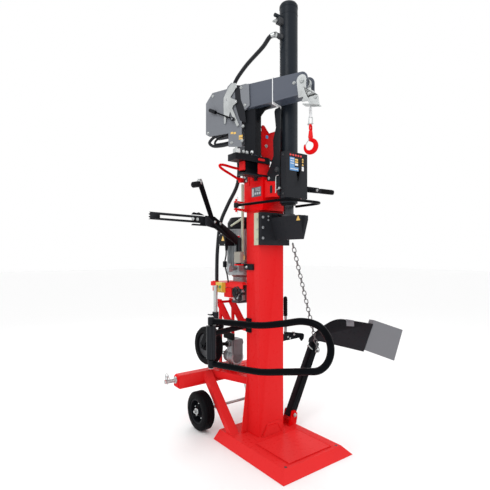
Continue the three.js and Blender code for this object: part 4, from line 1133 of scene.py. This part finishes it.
# ---------------------------------------------------------------- wheels, hitch and base
def make_tyre(name, centre, body, slot, radius, half, rim, node):
    """A round tyre with ribs along its tread and a plain side wall."""
    profile = [(rim + 0.3, -half + 6), (rim + 4, -half + 1), (rim + 12, -half), (radius - 24, -half + 1)]
    profile += [(radius - 10, -half + 4), (radius - 3, -half + 11)]
    ribs = []
    inner = half - 13
    for k in range(4):
        a = -inner + 2 * inner * k / 4
        b = -inner + 2 * inner * (k + 1) / 4
        ribs += [(radius - 0.4, a + 1.2), (radius - 0.4, b - 1.2), (radius - 6, b - 1), (radius - 6, b + 1)]
    ribs = ribs[:-2]
    mirror = [(r, -h) for r, h in reversed(profile)]
    tyre = Shape()
    tyre.turned(centre, RIGHT, [*profile, *ribs, *mirror], 72)
    piece = tyre.make(name, TYRE, body, slot)
    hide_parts(node)
    return piece


def make_rim(name, centre, body, half, node):
    profile = [(10.4, -half + 2), (24, -half + 2), (25, -half + 8), (41, -16), (62, -12),
            (70, -half + 6), (74, -half + 1), (80, -half), (80, half), (74, half - 1),
            (70, half - 6), (62, 12), (41, 16), (25, half - 8), (24, half - 2), (10.4, half - 2)]
    rim = Shape()
    rim.turned(centre, RIGHT, profile, 64)
    piece = rim.make(name, BLACK, body, "cast_alloy")
    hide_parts(node)
    bolts = Shape()
    c = Vector(centre)
    for side in (-1, 1):
        for k in range(5):
            t = math.radians(72 * k + 18)
            spot = c + Vector((side * 13.5, 51 * math.cos(t), 51 * math.sin(t)))
            bolts.bolt(spot, (side, 0, 0), 6)
        bolts.turned(c + Vector((side * 33.8, 0, 0)), (side, 0, 0),
                [(10.6, 0), (23, 0), (21, 4), (15, 5), (14, 9), (10.6, 9)], 32)
    bolts.make(name + "_bolts", ZINC, body, "zinc")


def make_wheels():
    for side, suffix in SIDES:
        centre = (side * 269, 384, 130)
        body = "wheel_" + suffix
        make_tyre("tyre_ribbed_" + suffix, centre, body, "tyre_rubber", 130, 41, 80, "tyre_" + suffix)
        make_rim("rim_turned_" + suffix, centre, body, 36, "rim_" + suffix)
        ends = Shape()
        ends.turned((side * 308, 384, 130), (side, 0, 0), [(10.2, -4), (15, -4), (15, 4), (10.2, 4)], 28)
        ends.turned((side * 320.2, 384, 130), (side, 0, 0), [(0.3, 0), (8, 0), (7, 3), (0.3, 3)], 20)
        ends.make("axle_end_" + suffix, ZINC, "frame", "zinc")
    c = Vector((-200, 395, 565))
    radius = 130
    tread = Shape()
    for k in range(30):
        t = 2 * math.pi * k / 30
        out = Vector((0, math.cos(t), math.sin(t)))
        turn = Vector((0, -out.z, out.y))
        for side in (-1, 1):
            shift = turn * (7 if side > 0 else -7)
            low = c + out * (radius - 4.5) + shift
            near = Vector((side * 3, 0, 0))
            far = Vector((side * 27, 0, 0))
            corners = [near - turn * 5, far - turn * 7, far + turn * 7, near + turn * 5]
            tread.loft([[low + out * h + corner for corner in corners] for h in (0, 4)])
    tread.make("jockey_tread", TYRE, "jockey_roller", "tyre_rubber")
    disc = Shape()
    face = [(10.6, 30), (30, 30), (34, 28), (78, 27.6), (82, 26.8), (82, 26.2), (10.6, 26.2)]
    for side in (-1, 1):
        disc.turned(c, RIGHT, [(r, side * h) for r, h in face], 56)
    disc.make("jockey_rim", DARK_CAST, "jockey_roller", "cast_alloy")


def make_hitch():
    for side, suffix in SIDES:
        pin = Shape()
        pin.bar((side * 424, 450, 350), (side * 500, 450, 350), 14.2, 32)
        pin.cone((side * 500, 450, 350), (side * 506, 450, 350), 14.4, 12.5, 32)
        pin.turned((side * 426, 450, 350), (side, 0, 0), [(14, -1), (22.4, -1), (22.4, 6),
                (20, 8), (14, 8)], 36)
        pin.make("hitch_pin_shank_" + suffix, ZINC, "frame", "zinc")
        linch = Shape()
        x = side * 488
        linch.bar((x, 450, 332), (x, 450, 384), 5, 16)
        linch.block(x - 9, x + 9, 440, 460, 378, 388)
        ring = ring_points((x, 450, 372), BACK, UP, 30, 70, 470, 26)
        linch.pipe(ring, 2.4, 10)
        linch.make("linch_pin_" + suffix, ZINC, "frame", "zinc", bevel=0.6)
    heads = Shape()
    for side in (-1, 1):
        heads.bolt((side * 60.6, 485, 845), (side, 0, 0), 9)
    heads.make("hitch_bolts", ZINC, "frame", "zinc")


def make_base():
    beads = Shape()
    table = [(-168, -388), (168, -388), (168, -95), (-168, -95)]
    for a, b in zip(table, table[1:] + table[:1]):
        weld(beads, (*a, 52.8), (*b, 52.8), 46, 2.4, 0.5, 8)
    foot = [(-100, -45), (100, -45), (100, 87), (-100, 87)]
    for a, b in zip(foot, foot[1:] + foot[:1]):
        weld(beads, (*a, 51), (*b, 51), 24, 4.4, 0.8, 10)
    plate = [(-80, 51), (-42, 112), (42, 112), (80, 51)]
    for a, b in zip(plate, plate[1:]):
        weld(beads, (a[0], -51, a[1]), (b[0], -51, b[1]), 12, 3.4, 0.7, 10)
    for side in (-1, 1):
        for y in (71, 81):
            beads.pipe([(side * (150 - 46 * k / 10), y, 52) for k in range(11)], 3.2, 10)
        rail = [(side * (150 - 45 * k / 20), 71.4, 50 + 350 * k / 20) for k in range(21)]
        beads.pipe(rail, 1.4, 8)
    beads.make("base_welds", RED, "frame", "red_paint")
    # Dark discs for the two holes in the base top: painted shade inside the holes.
    hole_shade = Shape()
    hole_shade.bar((-206, -400, 50), (-206, -400, 50.8), 8, 28)
    hole_shade.bar((205, -398, 49.9), (205, -398, 50.6), 8, 28)
    hole_shade.make("base_drain_hole_shade", DARK_CAST, "frame", "black_paint")


make_wheels()
make_hitch()
make_base()


# ---------------------------------------------------------------- loop handle and pin heads
def make_handle():
    path = [(-115, 66, 1738), (-200, 80, 1744), (-284, 98, 1757), (-300, 102, 1752),
            (-294, 102, 1740), (-210, 100, 1702), (-128, 96, 1668)]
    loop = Shape()
    loop.pipe(smooth_line(path, 8), 8, 20)
    loop = loop.make("loop_handle_rod", RED, "frame", "red_paint")
    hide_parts("loop_handle")
    boss = Shape()
    boss.bar((-142, 99, 1660), (-142, 99, 1690), 13, 28)
    boss.block(-142, -112.4, 88, 98, 1660, 1688)
    boss.make("handle_socket", RED, "frame", "red_paint", bevel=1)


def make_pin_heads():
    heads = Shape()
    heads.bolt((-150, HINGE_Y, 1316), UP, 7)
    heads.bolt((150, HINGE_Y, 1702), UP, 7)
    heads.bolt((10, -106, 1655), FRONT, 5)
    heads.make("hinge_pin_heads", ZINC, "frame", "zinc")
    lever = Shape()
    lever.pipe(smooth_line([(-100, -225, 1664), (-100, CYLINDER_Y, 1659), (-100, -200, 1610),
            (-100, -198, 1561)], 6), 3.4, 12)
    lever.bar((-96.4, -234, 1585), (-106, -234, 1585), 8, 24)
    lever.bar((-100, -230, 1584), (-100, -200, 1576), 3, 12)
    lever.make("stop_spring_lever", ZINC, "frame", "zinc")
    ring = Shape()
    ring.turned((-109, 78, 1634), LEFT, [(8, 0), (16, 0), (16, 4), (8, 4)], 28)
    ring.make("handle_boss", RED, "frame", "red_paint")


make_handle()
make_pin_heads()


# ---------------------------------------------------------------- studio
def make_studio():
    scene = bpy.context.scene
    scene.view_settings.view_transform = "Standard"
    world = bpy.data.worlds.new("studio")
    scene.world = world
    world.use_nodes = True
    background = world.node_tree.nodes["Background"]
    background.inputs["Color"].default_value = (1, 1, 1, 1)
    background.inputs["Strength"].default_value = 1.0
    lights = [
        ("key", (-3.2, -1.6, 3.8), 1.6, 42),
        ("fill", (2.6, -3.0, 2.4), 2.0, 12),
        ("rim", (1.2, 3.0, 3.4), 1.8, 30),
    ]
    for name, position, size, power in lights:
        data = bpy.data.lights.new(name, "AREA")
        data.energy = power
        data.size = size
        light = bpy.data.objects.new(name, data)
        bpy.context.collection.objects.link(light)
        light.location = position
        aim = Vector((0, 0, 1.2)) - Vector(position)
        light.rotation_euler = aim.to_track_quat("-Z", "Y").to_euler()
    bpy.ops.mesh.primitive_plane_add(size=60, location=(0, 0, -0.001))
    floor = bpy.context.object
    floor.name = "studio_floor"
    material, _, shader = new_material("studio floor")
    shader.inputs["Base Color"].default_value = (0.97, 0.97, 0.97, 1)
    shader.inputs["Roughness"].default_value = 0.6
    floor.data.materials.append(material)


make_studio()
